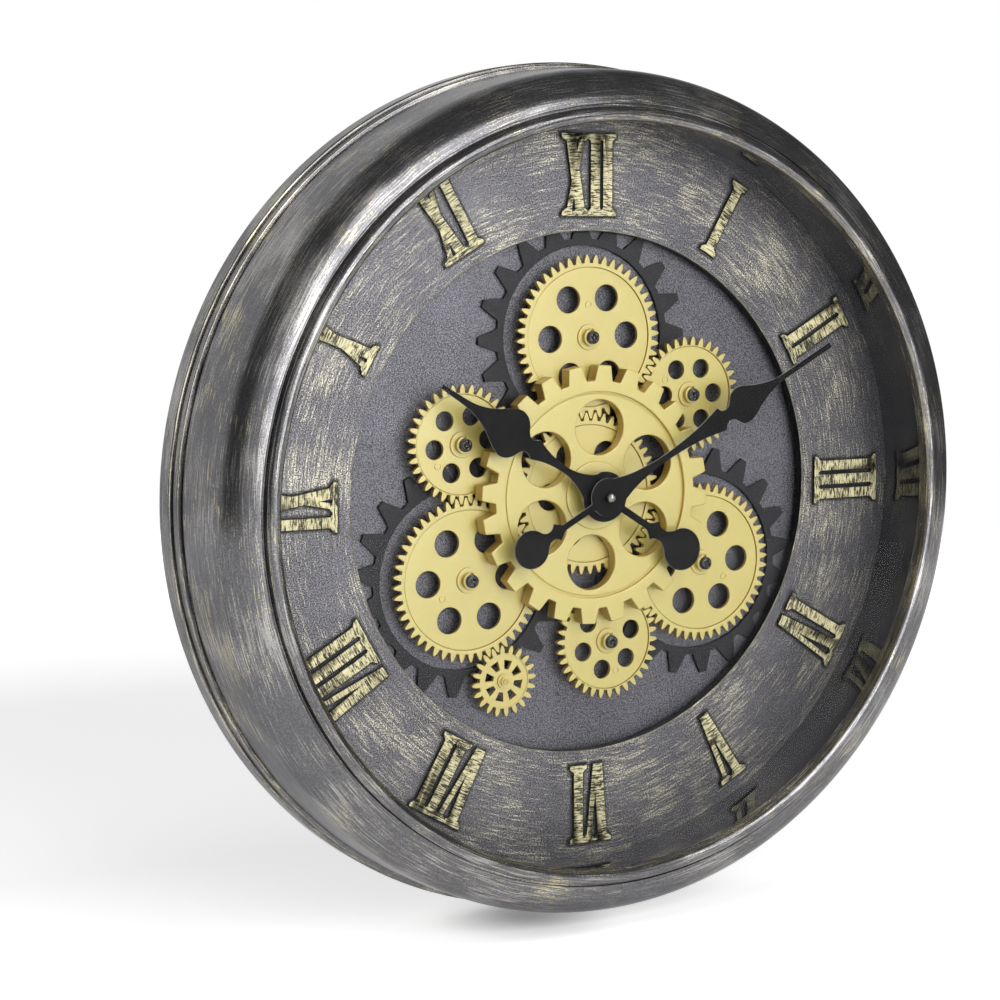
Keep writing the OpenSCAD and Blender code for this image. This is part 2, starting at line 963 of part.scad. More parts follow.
// Flat outline of a hand that points along X
module hand_outline(blade, tail, disc, stretch) {
    polygon(concat(
        [for (p = blade) [p[0]*stretch, p[1]]],
        [for (i = [len(blade) - 1:-1:0]) [blade[i][0]*stretch, -blade[i][1]]]));
    polygon(concat(
        [for (p = tail) [-p[0], p[1]]],
        [for (i = [len(tail) - 1:-1:0]) [-tail[i][0], -tail[i][1]]]));
    circle(r = disc[2]);
    translate([-disc[0], 0])
        circle(r = disc[1]);
}

module hour_hand() {
    color([0.03, 0.03, 0.03])
        facing()
            rotate([0, 0, hour_angle])
                difference() {
                    union() {
                        slab(hour_z, hour_z + hand_thickness)
                            hand_outline(hour_blade, hour_tail, hour_disc, hour_length/115);
                        rod(4.4, hour_collar, hour_z);
                    }
                    rod(hour_tube_r, 0, hour_z + 2);
                }
}

module hour_tube() {
    color([0.74, 0.62, 0.32])
        facing()
            difference() {
                rod(hour_tube_r, base_back - 3.5, hour_z + hand_thickness + 0.4);
                rod(minute_shaft_r + running_fit, base_back - 5, hour_z + 3);
            }
}

module minute_hand() {
    color([0.03, 0.03, 0.03])
        facing()
            rotate([0, 0, minute_angle])
                difference() {
                    union() {
                        slab(minute_z, minute_z + hand_thickness)
                            hand_outline(minute_blade, minute_tail, minute_disc, minute_length/161);
                        rod(3.2, hour_z + hand_thickness + 0.9, minute_z);
                    }
                    rod(minute_shaft_r, 0, minute_z + 2);
                }
}

module minute_shaft() {
    color([0.74, 0.62, 0.32])
        facing()
            rod(minute_shaft_r, base_back - 6.5, minute_z + hand_thickness + 1);
}

module hand_nut() {
    color([0.8, 0.8, 0.8])
        facing()
            difference() {
                union() {
                    rod(2.3, minute_z + hand_thickness, minute_z + hand_thickness + 2);
                    translate([0, 0, minute_z + hand_thickness + 2.4])
                        sphere(r = 2.7);
                }
                rod(5, minute_z - 3, minute_z + hand_thickness);
                rod(minute_shaft_r, minute_z, minute_z + hand_thickness + 1);
            }
}

module set_knob() {
    color([0.85, 0.85, 0.83])
        facing()
            translate([0, knob_y, 0]) {
                difference() {
                    rod(knob_r, unit_back - 3, unit_back - end_play);
                    around(12, knob_r + 0.3, 0)
                        rod(0.8, unit_back - 4, unit_back);
                }
                rod(1.5, unit_back - 1, unit_back + 7);
            }
}

front_frame();
front_glass();
inner_ring();
dial_ring();
numerals();
base_plate();
base_screws();
top_backing_ring();
right_backing_ring();
left_backing_ring();
gear_posts();
gear_washers();
gear_screws();
centre_bush();
stem_washer();
stem_nut();
movement_case();
movement_battery();
movement_contacts();
drive_case();
drive_battery();
drive_contacts();
drive_screws();
back_cover();
cover_screws();
hanger_plate();
hanger_rivets();
centre_gear_front();
centre_gear_rear();
top_gear();
right_gear();
left_gear();
upper_right_gear();
lower_gear();
upper_left_gear();
drive_gear();
drive_shaft();
hour_hand();
hour_tube();
minute_hand();
minute_shaft();
hand_nut();
set_knob();
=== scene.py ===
# %% [markdown]
# # A wall clock with moving gears
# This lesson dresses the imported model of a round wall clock. The real one is a deep moulded case,
# painted charcoal and dry-brushed with gold, with a flat glass over a dial ring, a train of gilt
# gears and two black spade hands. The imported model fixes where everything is, so each piece made
# here is written in the same frame: metres, dial towards -Y, twelve o'clock along +Z. The packed
# part is drawn in millimetres, so its sizes, and heights above the wall, stay in millimetres here.

# %% Load the frame
from math import acos, asin, atan2, cos, degrees, hypot, pi, radians, sin, tan
import bpy
import bmesh
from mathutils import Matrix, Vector
from mathutils.bvhtree import BVHTree


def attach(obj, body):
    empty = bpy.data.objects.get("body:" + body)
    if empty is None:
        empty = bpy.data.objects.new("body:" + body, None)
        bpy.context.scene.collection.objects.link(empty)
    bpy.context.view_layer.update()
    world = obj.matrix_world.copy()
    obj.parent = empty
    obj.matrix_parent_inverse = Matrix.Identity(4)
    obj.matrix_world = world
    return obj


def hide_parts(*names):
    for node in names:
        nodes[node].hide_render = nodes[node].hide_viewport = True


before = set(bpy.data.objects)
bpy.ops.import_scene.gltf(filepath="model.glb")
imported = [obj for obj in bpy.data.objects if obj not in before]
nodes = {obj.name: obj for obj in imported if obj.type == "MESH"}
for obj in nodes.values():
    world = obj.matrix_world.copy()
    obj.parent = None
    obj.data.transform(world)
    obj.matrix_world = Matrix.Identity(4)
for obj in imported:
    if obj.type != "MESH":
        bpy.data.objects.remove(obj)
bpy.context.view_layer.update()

scene = bpy.context.scene
MM = 0.001
BASE, DIAL, NUMERAL_TOP = 28.0, 36.0, 37.5
GLASS_BACK, GLASS_FRONT = 68.5, 71.5

# %% [markdown]
# ## The camera
# The photograph was taken from the clock's left and a little above, with a long lens. Place and lens
# come from a camera fitted to the rings of the case, so drawn circles fall on photographed ones.

# %% Camera
EYE = Vector((-0.6407, -1.1210, 0.1383))
LOOK = Vector((0.4729, 0.8739, -0.1119))
LENS = 84.8


def linked(name, data):
    obj = bpy.data.objects.new(name, data)
    scene.collection.objects.link(obj)
    return obj


def set_all(thing, **values):
    for key, value in values.items():
        setattr(thing, key, value)
    return thing


def aim(obj, place, way):
    obj.location = place
    obj.rotation_mode = "QUATERNION"
    obj.rotation_quaternion = way.to_track_quat("-Z", "Y")


camera = linked("Camera", bpy.data.cameras.new("Camera"))
set_all(camera.data, sensor_width=36, lens=LENS, clip_end=60)
aim(camera, EYE, LOOK)
scene.camera = camera
print("camera at", tuple(round(v, 3) for v in EYE), "lens", LENS)

# %% [markdown]
# ## Helpers for nodes
# Every finish is a small tree of nodes. One function adds a node and fills its sockets with values
# or links, and the others wrap nodes that come up again and again.

# %% Node helpers
def fill(tree, socket, value):
    if isinstance(value, bpy.types.NodeSocket):
        tree.links.new(value, socket)
    else:
        socket.default_value = value


def add(tree, kind, inputs=None, **settings):
    node = set_all(tree.nodes.new(kind), **settings)
    for key, value in (inputs or {}).items():
        fill(tree, node.inputs[key], value)
    return node


def calc(tree, operation, a, b=0.0, c=0.0):
    return add(tree, "ShaderNodeMath", {0: a, 1: b, 2: c}, operation=operation).outputs[0]


def noise(tree, place, scale=1.0, detail=2.0, roughness=0.5):
    values = {"Vector": place, "Scale": scale, "Detail": detail, "Roughness": roughness}
    return add(tree, "ShaderNodeTexNoise", values).outputs[0]


def remap(tree, value, start, end, low=0.0, high=1.0, kind="LINEAR"):
    values = {"Value": value, "From Min": start, "From Max": end, "To Min": low, "To Max": high}
    return add(tree, "ShaderNodeMapRange", values, interpolation_type=kind).outputs[0]


def mix(tree, factor, a, b):
    node = add(tree, "ShaderNodeMix", data_type="RGBA")
    for index, value in ((0, factor), (6, a), (7, b)):
        fill(tree, node.inputs[index], (*value, 1) if isinstance(value, tuple) else value)
    return node.outputs[2]


def attribute(tree, name):
    return add(tree, "ShaderNodeAttribute", attribute_name=name).outputs["Fac"]


def part_of(tree, vector, axis):
    return add(tree, "ShaderNodeSeparateXYZ", {0: vector}).outputs[axis]


print("node helpers ready")

# %% [markdown]
# ## Helpers for materials and groups
# A material starts from its Principled shader, with plain values on the shader's own sockets. An
# effect that several finishes share becomes a node group: it takes a place and some sizes, and gives
# back numbers to mix with. The function that starts such a group also starts the geometry trees.

# %% Materials and groups
def start_material(name, **plain):
    material = bpy.data.materials.new(name)
    material.use_nodes = True
    tree = material.node_tree
    shader = tree.nodes["Principled BSDF"].inputs
    for key, value in plain.items():
        shader[key.replace("_", " ")].default_value = value
    place = tree.nodes.new("ShaderNodeTexCoord").outputs["Object"]
    return material, tree, shader, place


def bump(tree, shader, height, strength, distance):
    node = add(tree, "ShaderNodeBump", {"Strength": strength, "Distance": distance, "Height": height})
    tree.links.new(node.outputs[0], shader["Normal"])


def new_tree(kind, name, inputs, outputs):
    tree = bpy.data.node_groups.new(name, kind + "NodeTree")
    for way, sockets in (("INPUT", inputs), ("OUTPUT", outputs)):
        for socket, labels in sockets.items():
            for label in labels.split(", "):
                tree.interface.new_socket(label, in_out=way, socket_type="NodeSocket" + socket)
    return tree, tree.nodes.new("NodeGroupInput").outputs, tree.nodes.new("NodeGroupOutput").inputs


def place_group(tree, group, place, **sizes):
    return add(tree, "ShaderNodeGroup", {"Vector": place, **sizes}, node_tree=group).outputs


print("material helpers ready")

# %% [markdown]
# ## The dry-brush effect
# The maker drags an almost dry brush of gold round the charcoal moulding. It leaves short strokes
# round the dial axis, thick in some patches and missing in others. The group takes angle and radius
# about the axis, stretches a noise along the angle and cuts it with a patch mask. One effect serves
# case, dial and numerals.

# %% Dry brush group
WANDER_SCALE, WANDER_REACH = 17.0, 0.005
MEAN_RADIUS = 0.2
BREAK_SCALE = 1500.0
dry_brush, given, result = new_tree(
    "Shader", "Dry brush round the axis",
    {"Vector": "Vector", "Float": "Length, Width, Patch, Amount, Softness, Break, Clump"}, {"Float": "Mask"})
t = dry_brush
place = given["Vector"]
x, y, z = add(t, "ShaderNodeSeparateXYZ", {0: place}).outputs
squares = calc(t, "ADD", calc(t, "MULTIPLY", x, x), calc(t, "MULTIPLY", z, z))
wander = noise(t, place, WANDER_SCALE)
radius = calc(t, "MULTIPLY_ADD", wander, WANDER_REACH, calc(t, "SQRT", squares))
arc = calc(t, "MULTIPLY", calc(t, "ARCTAN2", x, z), MEAN_RADIUS)
stroke_at = add(t, "ShaderNodeCombineXYZ", {
    0: calc(t, "DIVIDE", arc, given["Length"]),
    1: calc(t, "DIVIDE", radius, given["Width"]),
    2: calc(t, "DIVIDE", y, given["Width"])}).outputs[0]
patch_scale = calc(t, "DIVIDE", 1.0, given["Patch"])
patch_at = add(t, "ShaderNodeVectorMath", {0: place, 3: patch_scale}, operation="SCALE").outputs[0]
level = noise(t, stroke_at, detail=3.0, roughness=0.55)
for field, weight in ((noise(t, patch_at), "Clump"), (noise(t, place, BREAK_SCALE, 1.0), "Break")):
    centred = calc(t, "SUBTRACT", field, 0.5)
    level = calc(t, "MULTIPLY_ADD", centred, given[weight], level)
limit = calc(t, "SUBTRACT", 1.0, given["Amount"])
mask = remap(t, level, limit, calc(t, "ADD", limit, given["Softness"]), kind="SMOOTHSTEP")
t.links.new(mask, result["Mask"])
print("dry brush:", len(t.nodes), "nodes")

# %% [markdown]
# ## The sandy ground
# Dial and base plate are sprayed with a textured paint: a field of tiny bumps with a speckle of
# lighter and darker points. Two noises give the height, the finer one with a slow cloud gives the
# tint, and its tops alone say where a dry brush would touch.

# %% Sandy grain group
COARSE_SHARE, CLOUD_SCALE = 0.37, 25.0
sandy, given, result = new_tree(
    "Shader", "Sandy grain", {"Vector": "Vector", "Float": "Grain"}, {"Float": "Height, Tint, Peaks"})
t = sandy
place = given["Vector"]
close = calc(t, "DIVIDE", 1.0, given["Grain"])
fine = noise(t, place, close)
coarse = noise(t, place, calc(t, "MULTIPLY", close, COARSE_SHARE), 1.0)
cloud = calc(t, "SUBTRACT", noise(t, place, CLOUD_SCALE), 0.5)
t.links.new(calc(t, "MULTIPLY_ADD", coarse, 0.3, fine), result["Height"])
t.links.new(calc(t, "MULTIPLY_ADD", cloud, 0.5, remap(t, fine, 0.4, 0.6)), result["Tint"])
t.links.new(remap(t, fine, 0.46, 0.6), result["Peaks"])
print("sandy grain:", len(t.nodes), "nodes")

# %% [markdown]
# ## The finish of the case
# The case is satin charcoal, rubbed pale along its strokes and gold in places. It is made as a dark
# metal, so that it mirrors the studio softly, and a tint for grazing views keeps its rim dark. A
# point attribute called edge, set when the case is turned, adds gold where a brush would catch.

# %% Case finish
CHARCOAL = (0.105, 0.103, 0.109), (0.155, 0.152, 0.159)
GOLD_PAINT = (0.66, 0.60, 0.36)
PALE_PAINT = (0.62, 0.60, 0.56)
GRAZING_TINT = (0.62, 0.62, 0.63, 1)


def case_finish():
    material, t, shader, place = start_material(
        "Charcoal case, dry-brushed", Metallic=0.88, Specular_Tint=GRAZING_TINT)
    grain = place_group(t, sandy, place, Grain=0.0009)
    silver = place_group(t, dry_brush, place, Length=0.02, Width=0.0006, Patch=0.04, Amount=0.52,
                         Softness=0.26, Break=0.3, Clump=0.7)["Mask"]
    gilt = place_group(t, dry_brush, place, Length=0.012, Width=0.0006, Patch=0.028, Amount=0.36,
                       Softness=0.08, Break=0.3, Clump=0.6)["Mask"]
    ground = mix(t, grain["Tint"], *CHARCOAL)
    pale = mix(t, calc(t, "MULTIPLY", silver, 0.5), ground, PALE_PAINT)
    rub = calc(t, "MULTIPLY", attribute(t, "edge"), calc(t, "ADD", silver, 0.3))
    gold = calc(t, "MAXIMUM", calc(t, "MULTIPLY", gilt, 0.6), rub)
    t.links.new(mix(t, gold, pale, GOLD_PAINT), shader["Base Color"])
    t.links.new(calc(t, "MULTIPLY_ADD", silver, 0.08, 0.2), shader["Roughness"])
    relief = calc(t, "MULTIPLY_ADD", silver, 0.3, grain["Height"])
    bump(t, shader, relief, 0.06, 0.0004)
    return material


case_paint = case_finish()
print("made:", case_paint.name)

# %% [markdown]
# ## The finishes of the dial, the numerals and the base plate
# Strokes on the dial show only on the tops of the sand, so they look dotted. The attribute edge
# lightens the rounded corner at the opening, a painted highlight. One called near darkens the dial
# round and between the numerals: ground the brush missed, with painted shade in the narrow gaps. A
# numeral is gold on top and dark on its flanks, told apart by the height of the point.

# %% Dial, numeral and base finishes
DIAL_SAND = (0.045, 0.044, 0.051), (0.22, 0.216, 0.235)
BASE_SAND = (0.05, 0.049, 0.057), (0.2, 0.198, 0.222)
DIAL_STROKE, HIGHLIGHT_CORNER, DIAL_SIDE = (0.95, 0.9, 0.68), (0.16, 0.15, 0.11), (0.006, 0.006, 0.007)
LETTER_GOLD, LETTER_GAP, LETTER_SIDE = (0.84, 0.77, 0.45), (0.03, 0.027, 0.015), (0.01, 0.01, 0.011)
SAND_GRAIN = 0.00068


def face_mask(tree, place, height):
    return remap(tree, part_of(tree, place, 1), -height * MM + 0.0003, -height * MM + 0.0001)


def dial_finish():
    material, t, shader, place = start_material("Sandy dial, dry-brushed", Metallic=0.82, Roughness=0.4)
    grain = place_group(t, sandy, place, Grain=SAND_GRAIN)
    strokes = place_group(t, dry_brush, place, Length=0.012, Width=0.0007, Patch=0.035, Amount=0.53,
                          Softness=0.3, Break=0.2, Clump=0.6)["Mask"]
    near = attribute(t, "near")
    ground = mix(t, grain["Tint"], *DIAL_SAND)
    # Near a numeral the dial turns almost black: ground the brush missed, and painted shade between the
    # strokes.
    ground = mix(t, calc(t, "MULTIPLY", near, 0.85), ground, LETTER_SIDE)
    # The opening's corner turns lighter: a painted highlight.
    ground = mix(t, attribute(t, "edge"), ground, HIGHLIGHT_CORNER)
    dotted = calc(t, "MULTIPLY", strokes, calc(t, "MULTIPLY_ADD", grain["Peaks"], 0.85, 0.1))
    dotted = calc(t, "MULTIPLY", dotted, calc(t, "SUBTRACT", 1.0, near))
    face = mix(t, dotted, ground, DIAL_STROKE)
    t.links.new(mix(t, face_mask(t, place, DIAL), DIAL_SIDE, face), shader["Base Color"])
    bump(t, shader, grain["Height"], 0.3, 0.0005)
    return material


def numeral_finish():
    material, t, shader, place = start_material("Gilt numerals", Roughness=0.4, Metallic=0.2)
    streaks = place_group(t, dry_brush, place, Length=0.005, Width=0.0006, Patch=0.01, Amount=0.605,
                          Softness=0.2, Break=0.25, Clump=0.4)["Mask"]
    top = mix(t, streaks, LETTER_GAP, LETTER_GOLD)
    t.links.new(mix(t, face_mask(t, place, NUMERAL_TOP), LETTER_SIDE, top), shader["Base Color"])
    bump(t, shader, streaks, 0.3, 0.0004)
    return material


def base_finish():
    material, t, shader, place = start_material("Sandy base plate", Metallic=0.72, Roughness=0.4)
    grain = place_group(t, sandy, place, Grain=SAND_GRAIN)
    t.links.new(mix(t, grain["Tint"], *BASE_SAND), shader["Base Color"])
    bump(t, shader, grain["Height"], 0.3, 0.0005)
    return material


dial_paint = dial_finish()
base_paint = base_finish()
numeral_paint = numeral_finish()
print("made:", ", ".join(paint.name for paint in (dial_paint, base_paint, numeral_paint)))

# %% [markdown]
# ## The finishes of the gears, the hands and the small parts
# These share one recipe: a colour that drifts a little, with a fine bump and a roughness that
# follows it. The gears are plastic with a gold lacquer, and a high index gives its white sheen,
# which a full metal would lose in a dark studio. A face attribute called wall marks what does not
# look forward: gears turn darker and browner there, which is painted shade on their side faces, and
# the hands' cut edges turn lighter, bare metal with a painted highlight.

# %% Gear, hand and small finishes
def plain_finish(name, low, high, roughness, metallic=0.0, grain=0.002, strength=0.06, level=0.5, drift=0.1,
                 wall=None, wall_from=0.0, ior=1.5):
    material, t, shader, place = start_material(name, Metallic=metallic, Specular_IOR_Level=level, IOR=ior)
    speck = place_group(t, sandy, place, Grain=grain)
    colour = mix(t, speck["Tint"], low, high)
    # Faces that do not look forward take the wall colour: painted shade on the gears, bare metal and a
    # painted highlight on the hands' edges.
    if wall:
        colour = mix(t, remap(t, attribute(t, "wall"), wall_from, 1.0), colour, wall)
    t.links.new(colour, shader["Base Color"])
    rough = calc(t, "MULTIPLY_ADD", speck["Tint"], drift, roughness - drift / 2)
    t.links.new(rough, shader["Roughness"])
    bump(t, shader, speck["Height"], strength, 0.0003)
    return material


# The brown wall colour of the gears is painted shade on their side faces.
gear_gold = plain_finish("Satin gold lacquer", (0.59, 0.492, 0.11), (0.64, 0.537, 0.133), 0.37, 0.1, 0.0006,
                         0.05, level=1.0, wall=(0.5, 0.315, 0.035), wall_from=0.7, ior=1.75)
backing_black = plain_finish("Smooth black rings", (0.007, 0.007, 0.009), (0.012, 0.012, 0.015), 0.5,
                             grain=0.0012, strength=0.03, level=0.4)
# The grey wall colour of the hands is bare cut metal with a painted highlight.
hand_black = plain_finish("Matte black hands", (0.004, 0.004, 0.0045), (0.007, 0.007, 0.0075), 0.6,
                          grain=0.0008, level=0.15, wall=(0.45, 0.45, 0.45))
gloss_black = plain_finish("Gloss black inner wall", (0.026, 0.026, 0.03), (0.032, 0.032, 0.037), 0.04,
                           grain=0.004, strength=0.0, level=1.0, drift=0.01)
black_screw = plain_finish("Blackened screws", (0.05, 0.05, 0.051), (0.11, 0.109, 0.106), 0.3, 0.8,
                           0.0006, 0.1)
bright_steel = plain_finish("Bright steel", (0.33, 0.33, 0.335), (0.4, 0.4, 0.4), 0.16, 1.0, 0.0008, 0.02)
plain_steel = plain_finish("Plain steel", (0.4, 0.4, 0.4), (0.5, 0.5, 0.49), 0.36, 1.0, 0.0009, 0.1)
turned_brass = plain_finish("Turned brass", (0.5, 0.38, 0.15), (0.6, 0.46, 0.19), 0.33, 1.0, 0.0008, 0.06)
cover_plastic = plain_finish("Grained black cover", (0.022, 0.022, 0.023), (0.05, 0.05, 0.051), 0.6,
                             grain=0.0012, strength=0.4)
unit_plastic = plain_finish("Black unit moulding", (0.012, 0.012, 0.012), (0.024, 0.024, 0.024), 0.45,
                            grain=0.001, strength=0.15)
knob_plastic = plain_finish("White knob moulding", (0.66, 0.66, 0.63), (0.72, 0.72, 0.69), 0.4,
                            grain=0.001, strength=0.08)
print("finishes so far:", len(bpy.data.materials))

# %% [markdown]
# ## The dry cells and the glass
# A dry cell is a dark wrap with bare metal at both ends. The front glass is clear. Shadow and
# diffuse rays meet a transparent shader there, so the dial behind stays bright and free of noise.

# %% Cell and glass finishes
CELL_HALF, WRAP_END, BAND_START = 0.0245, 0.0236, 0.0238


def cell_finish():
    material, t, shader, place = start_material("Dry cell wrap", Roughness=0.35)
    speck = place_group(t, sandy, place, Grain=0.002)
    wrap = mix(t, speck["Tint"], (0.05, 0.05, 0.06), (0.07, 0.07, 0.08))
    along = calc(t, "PINGPONG", part_of(t, place, 0), CELL_HALF)
    band = remap(t, along, WRAP_END, BAND_START)
    t.links.new(mix(t, band, wrap, (0.5, 0.5, 0.48)), shader["Base Color"])
    return material


def any_ray(tree, *kinds):
    rays = tree.nodes.new("ShaderNodeLightPath").outputs
    found = 0.0
    for kind in kinds:
        found = calc(tree, "MAXIMUM", found, rays["Is " + kind + " Ray"])
    return found


def glass_finish():
    material, t, *_ = start_material("Clear front glass", Roughness=0.0, Transmission_Weight=1.0, IOR=1.09)
    passing = any_ray(t, "Shadow", "Diffuse")
    glass = t.nodes["Principled BSDF"].outputs[0]
    clear = t.nodes.new("ShaderNodeBsdfTransparent").outputs[0]
    blend = add(t, "ShaderNodeMixShader", {0: passing, 1: glass, 2: clear})
    t.links.new(blend.outputs[0], t.nodes["Material Output"].inputs["Surface"])
    return material


cell_wrap = cell_finish()
clear_glass = glass_finish()
print("finishes:", len(bpy.data.materials))

# %% [markdown]
# ## Sections with rounded corners
# Case, wall, dial ring, hubs and nut are bodies of revolution. Their half sections are corner
# points: radius, height, the size of the rounding and, where the brush catches, an edge value, which
# fades out just beside the corner.

# %% Rounded sections
CORNER_STEPS, CORNER_SHARE, FADE = 4, 0.49, 0.4


def rounded(corners):
    line = []
    for i, corner in enumerate(corners):
        here = Vector(corner[:2])
        size = corner[2]
        mark = corner[3] if len(corner) > 3 else 0.0
        a = Vector(corners[i - 1][:2]) - here
        b = Vector(corners[(i + 1) % len(corners)][:2]) - here
        if size <= 0:
            line.append((here, mark))
            continue
        run = min(size / tan(a.angle(b) / 2), CORNER_SHARE * a.length, CORNER_SHARE * b.length)
        start, end = here + a.normalized() * run, here + b.normalized() * run
        if mark and run + FADE < CORNER_SHARE * a.length:
            line.append((here + a.normalized() * (run + FADE), 0.0))
        for k in range(CORNER_STEPS + 1):
            s = k / CORNER_STEPS
            line.append(((1 - s) ** 2 * start + 2 * s * (1 - s) * here + s * s * end, mark))
        if mark and run + FADE < CORNER_SHARE * b.length:
            line.append((here + b.normalized() * (run + FADE), 0.0))
    return line


def polar(radius, angle):
    return (radius * cos(angle), radius * sin(angle))


def arc_points(centre, radius, first, last, steps, mark=0.0):
    points = []
    for k in range(steps + 1):
        x, y = polar(radius, radians(first + (last - first) * k / steps))
        points.append((centre[0] + x, centre[1] + y, 0, mark))
    return points


print("a rounded square has", len(rounded([(0, 0, 1), (9, 0, 1), (9, 9, 1), (0, 9, 1)])), "points")

# %% [markdown]
# ## Turning a section into a mesh
# A section is turned about the dial axis, or one beside it, in many steps. Less than a full turn
# leaves a notch and gets two end faces. A finished mesh becomes a piece: it takes its finish, joins
# the body that carries it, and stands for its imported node.

# %% Turned meshes and pieces
def set_attribute(mesh, name, domain, values):
    mesh.attributes.new(name, "FLOAT", domain).data.foreach_set("value", values)


def cleaned(mesh):
    work = bmesh.new()
    work.from_mesh(mesh)
    bmesh.ops.remove_doubles(work, verts=work.verts, dist=1e-7)
    bmesh.ops.recalc_face_normals(work, faces=work.faces)
    work.to_mesh(mesh)
    work.free()
    mesh.shade_smooth()
    mesh.set_sharp_from_angle(angle=radians(35))
    return mesh


def turned(corners, centre=(0, 0), steps=64, sweep=360.0, start=0.0):
    line = rounded(corners)
    n = len(line)
    rings = steps if sweep == 360 else steps + 1
    verts, faces = [], []
    for k in range(rings):
        a = radians(start + sweep * k / steps)
        for point, _ in line:
            x, z = centre[0] + point.x * cos(a), centre[1] + point.x * sin(a)
            verts.append((x * MM, -point.y * MM, z * MM))
    for k in range(steps):
        this, following = k * n, (k + 1) % rings * n
        for i in range(n):
            j = (i + 1) % n
            faces.append((this + i, this + j, following + j, following + i))
    if sweep != 360:
        faces.append(tuple(range(n)))
        faces.append(tuple(steps * n + i for i in reversed(range(n))))
    mesh = bpy.data.meshes.new("turned")
    mesh.from_pydata(verts, [], faces)
    set_attribute(mesh, "edge", "POINT", [mark for _, mark in line] * rings)
    return cleaned(mesh)


def add_piece(name, mesh, material, body, node):
    mesh.name = name
    mesh.materials.clear()
    mesh.materials.append(material)
    if material in (gear_gold, hand_black):
        set_attribute(mesh, "wall", "FACE", [1 - abs(face.normal.y) for face in mesh.polygons])
    piece = linked(name, mesh)
    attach(piece, body)
    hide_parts(node)
    return piece


print("turning helpers ready")

# %% [markdown]
# ## The case
# The section runs from the rear rim over a flange, two narrow grooves and a smooth side into the
# wide rounded front, then through a narrow groove and over a small bead to the lip. The front is one
# arc, which a line from the shoulder touches.

# %% Case
RIM_R, RIM_INNER_R, CAVITY_R, BORE_R, LIP_R = 230, 224.3, 211.3, 202.4, 196.2
NOSE, NOSE_R = (202.2, 53.0), 22.0
BEAD, BEAD_R = (199.9, 76.0), 4.0
SHOULDER = (226.4, 23.5)
BIG_STEPS = 288


def case_section():
    across, up = SHOULDER[0] - NOSE[0], SHOULDER[1] - NOSE[1]
    touch = degrees(atan2(up, across) + acos(NOSE_R / hypot(across, up)))
    corners = [(RIM_INNER_R, 3, 0), (RIM_INNER_R, 0, 0.6), (RIM_R, 0, 1.4, 0.1), (RIM_R, 13, 1.1, 0.2),
               (226.6, 13.2, 0.5), (226.6, 15.3, 0.5), (228.4, 15.5, 0.7, 0.15), (228.4, 21, 0.7, 0.2),
               (224.6, 21.2, 0.5), (224.6, 23.3, 0.5), (*SHOULDER, 0.9, 0.15)]
    corners += arc_points(NOSE, NOSE_R, touch, 81.5, 30)
    corners += [(205.6, 74.5, 0.5, 0.1), (205.6, 73, 0.4), (203.6, 73, 0.4)]
    corners += arc_points(BEAD, BEAD_R, 22.4, 128, 13)
    corners += arc_points(BEAD, BEAD_R, 138, 157.4, 3, 0.35)
    corners += [(LIP_R, GLASS_FRONT, 0.3, 0.6), (BORE_R, GLASS_FRONT, 0), (BORE_R, BASE, 0),
                (CAVITY_R, BASE, 0), (CAVITY_R, 3, 0)]
    return corners


case = add_piece("case_moulding", turned(case_section(), steps=BIG_STEPS), case_paint, "case",
                 "front_frame")
print("case faces:", len(case.data.polygons))

# %% [markdown]
# ## The inner wall and the dial ring
# A glossy dark wall joins glass and dial, and mirrors the numerals. The dial ring is divided into
# many narrow rings, because the line round each numeral is stored on its points.

# %% Inner wall and dial ring
WALL_R, RING_R, SKIRT_R, OPENING_R = 199.3, 202.1, 198.1, 140.3
RING_BACK = 30.6
RING_STEPS = 864
wall_line = [(WALL_R, DIAL, 0), (RING_R, DIAL, 0), (RING_R, GLASS_BACK, 0), (WALL_R, GLASS_BACK, 0.3)]
add_piece("inner_wall", turned(wall_line, steps=BIG_STEPS), gloss_black, "case", "inner_ring")
face_radii = (RING_R, *range(198, 141, -1), 141.2)
ring_line = [(RING_R, BASE, 0), *[(r, DIAL, 0) for r in face_radii], (OPENING_R, DIAL, 0.5, 1),
             (OPENING_R, RING_BACK, 0.2), (SKIRT_R, RING_BACK, 0), (SKIRT_R, BASE, 0)]
ring = add_piece("dial_face", turned(ring_line, steps=RING_STEPS), dial_paint, "case", "dial_ring")
print("dial points:", len(ring.data.vertices))

# %% [markdown]
# ## Meshes from modifiers
# A maker object carries a modifier, its result is taken as a plain mesh, and the maker goes away, so
# no piece keeps a modifier. Weighted normals keep flat faces flat and let only bevels turn.

# %% Modifier helpers
def evaluated(maker):
    made = bpy.data.meshes.new_from_object(maker.evaluated_get(bpy.context.evaluated_depsgraph_get()))
    bpy.data.objects.remove(maker)
    return made


def even_normals(mesh):
    mesh.shade_smooth()
    mesh.set_sharp_from_angle(angle=radians(50))
    maker = linked("even", mesh)
    set_all(maker.modifiers.new("even", "WEIGHTED_NORMAL"), weight=100, keep_sharp=True)
    return evaluated(maker)


def add_bevel(maker, width, segments, angle):
    bevel = maker.modifiers.new("soften", "BEVEL")
    set_all(bevel, width=width, segments=segments, limit_method="ANGLE", angle_limit=radians(angle))


def softened_copy(node, width, segments=2):
    mesh = nodes[node].data.copy()
    work = bmesh.new()
    work.from_mesh(mesh)
    bmesh.ops.remove_doubles(work, verts=work.verts, dist=1e-6)
    bmesh.ops.dissolve_limit(work, angle_limit=radians(1), verts=work.verts, edges=work.edges)
    work.to_mesh(mesh)
    work.free()
    maker = linked("maker", mesh)
    add_bevel(maker, width, segments, 40)
    return even_normals(evaluated(maker))


print("modifier helpers ready")

# %% [markdown]
# ## The numerals
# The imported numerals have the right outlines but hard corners. A copy is merged and a small bevel
# rounds its edges, as paint does. Each point of the dial then stores how near a numeral it is.

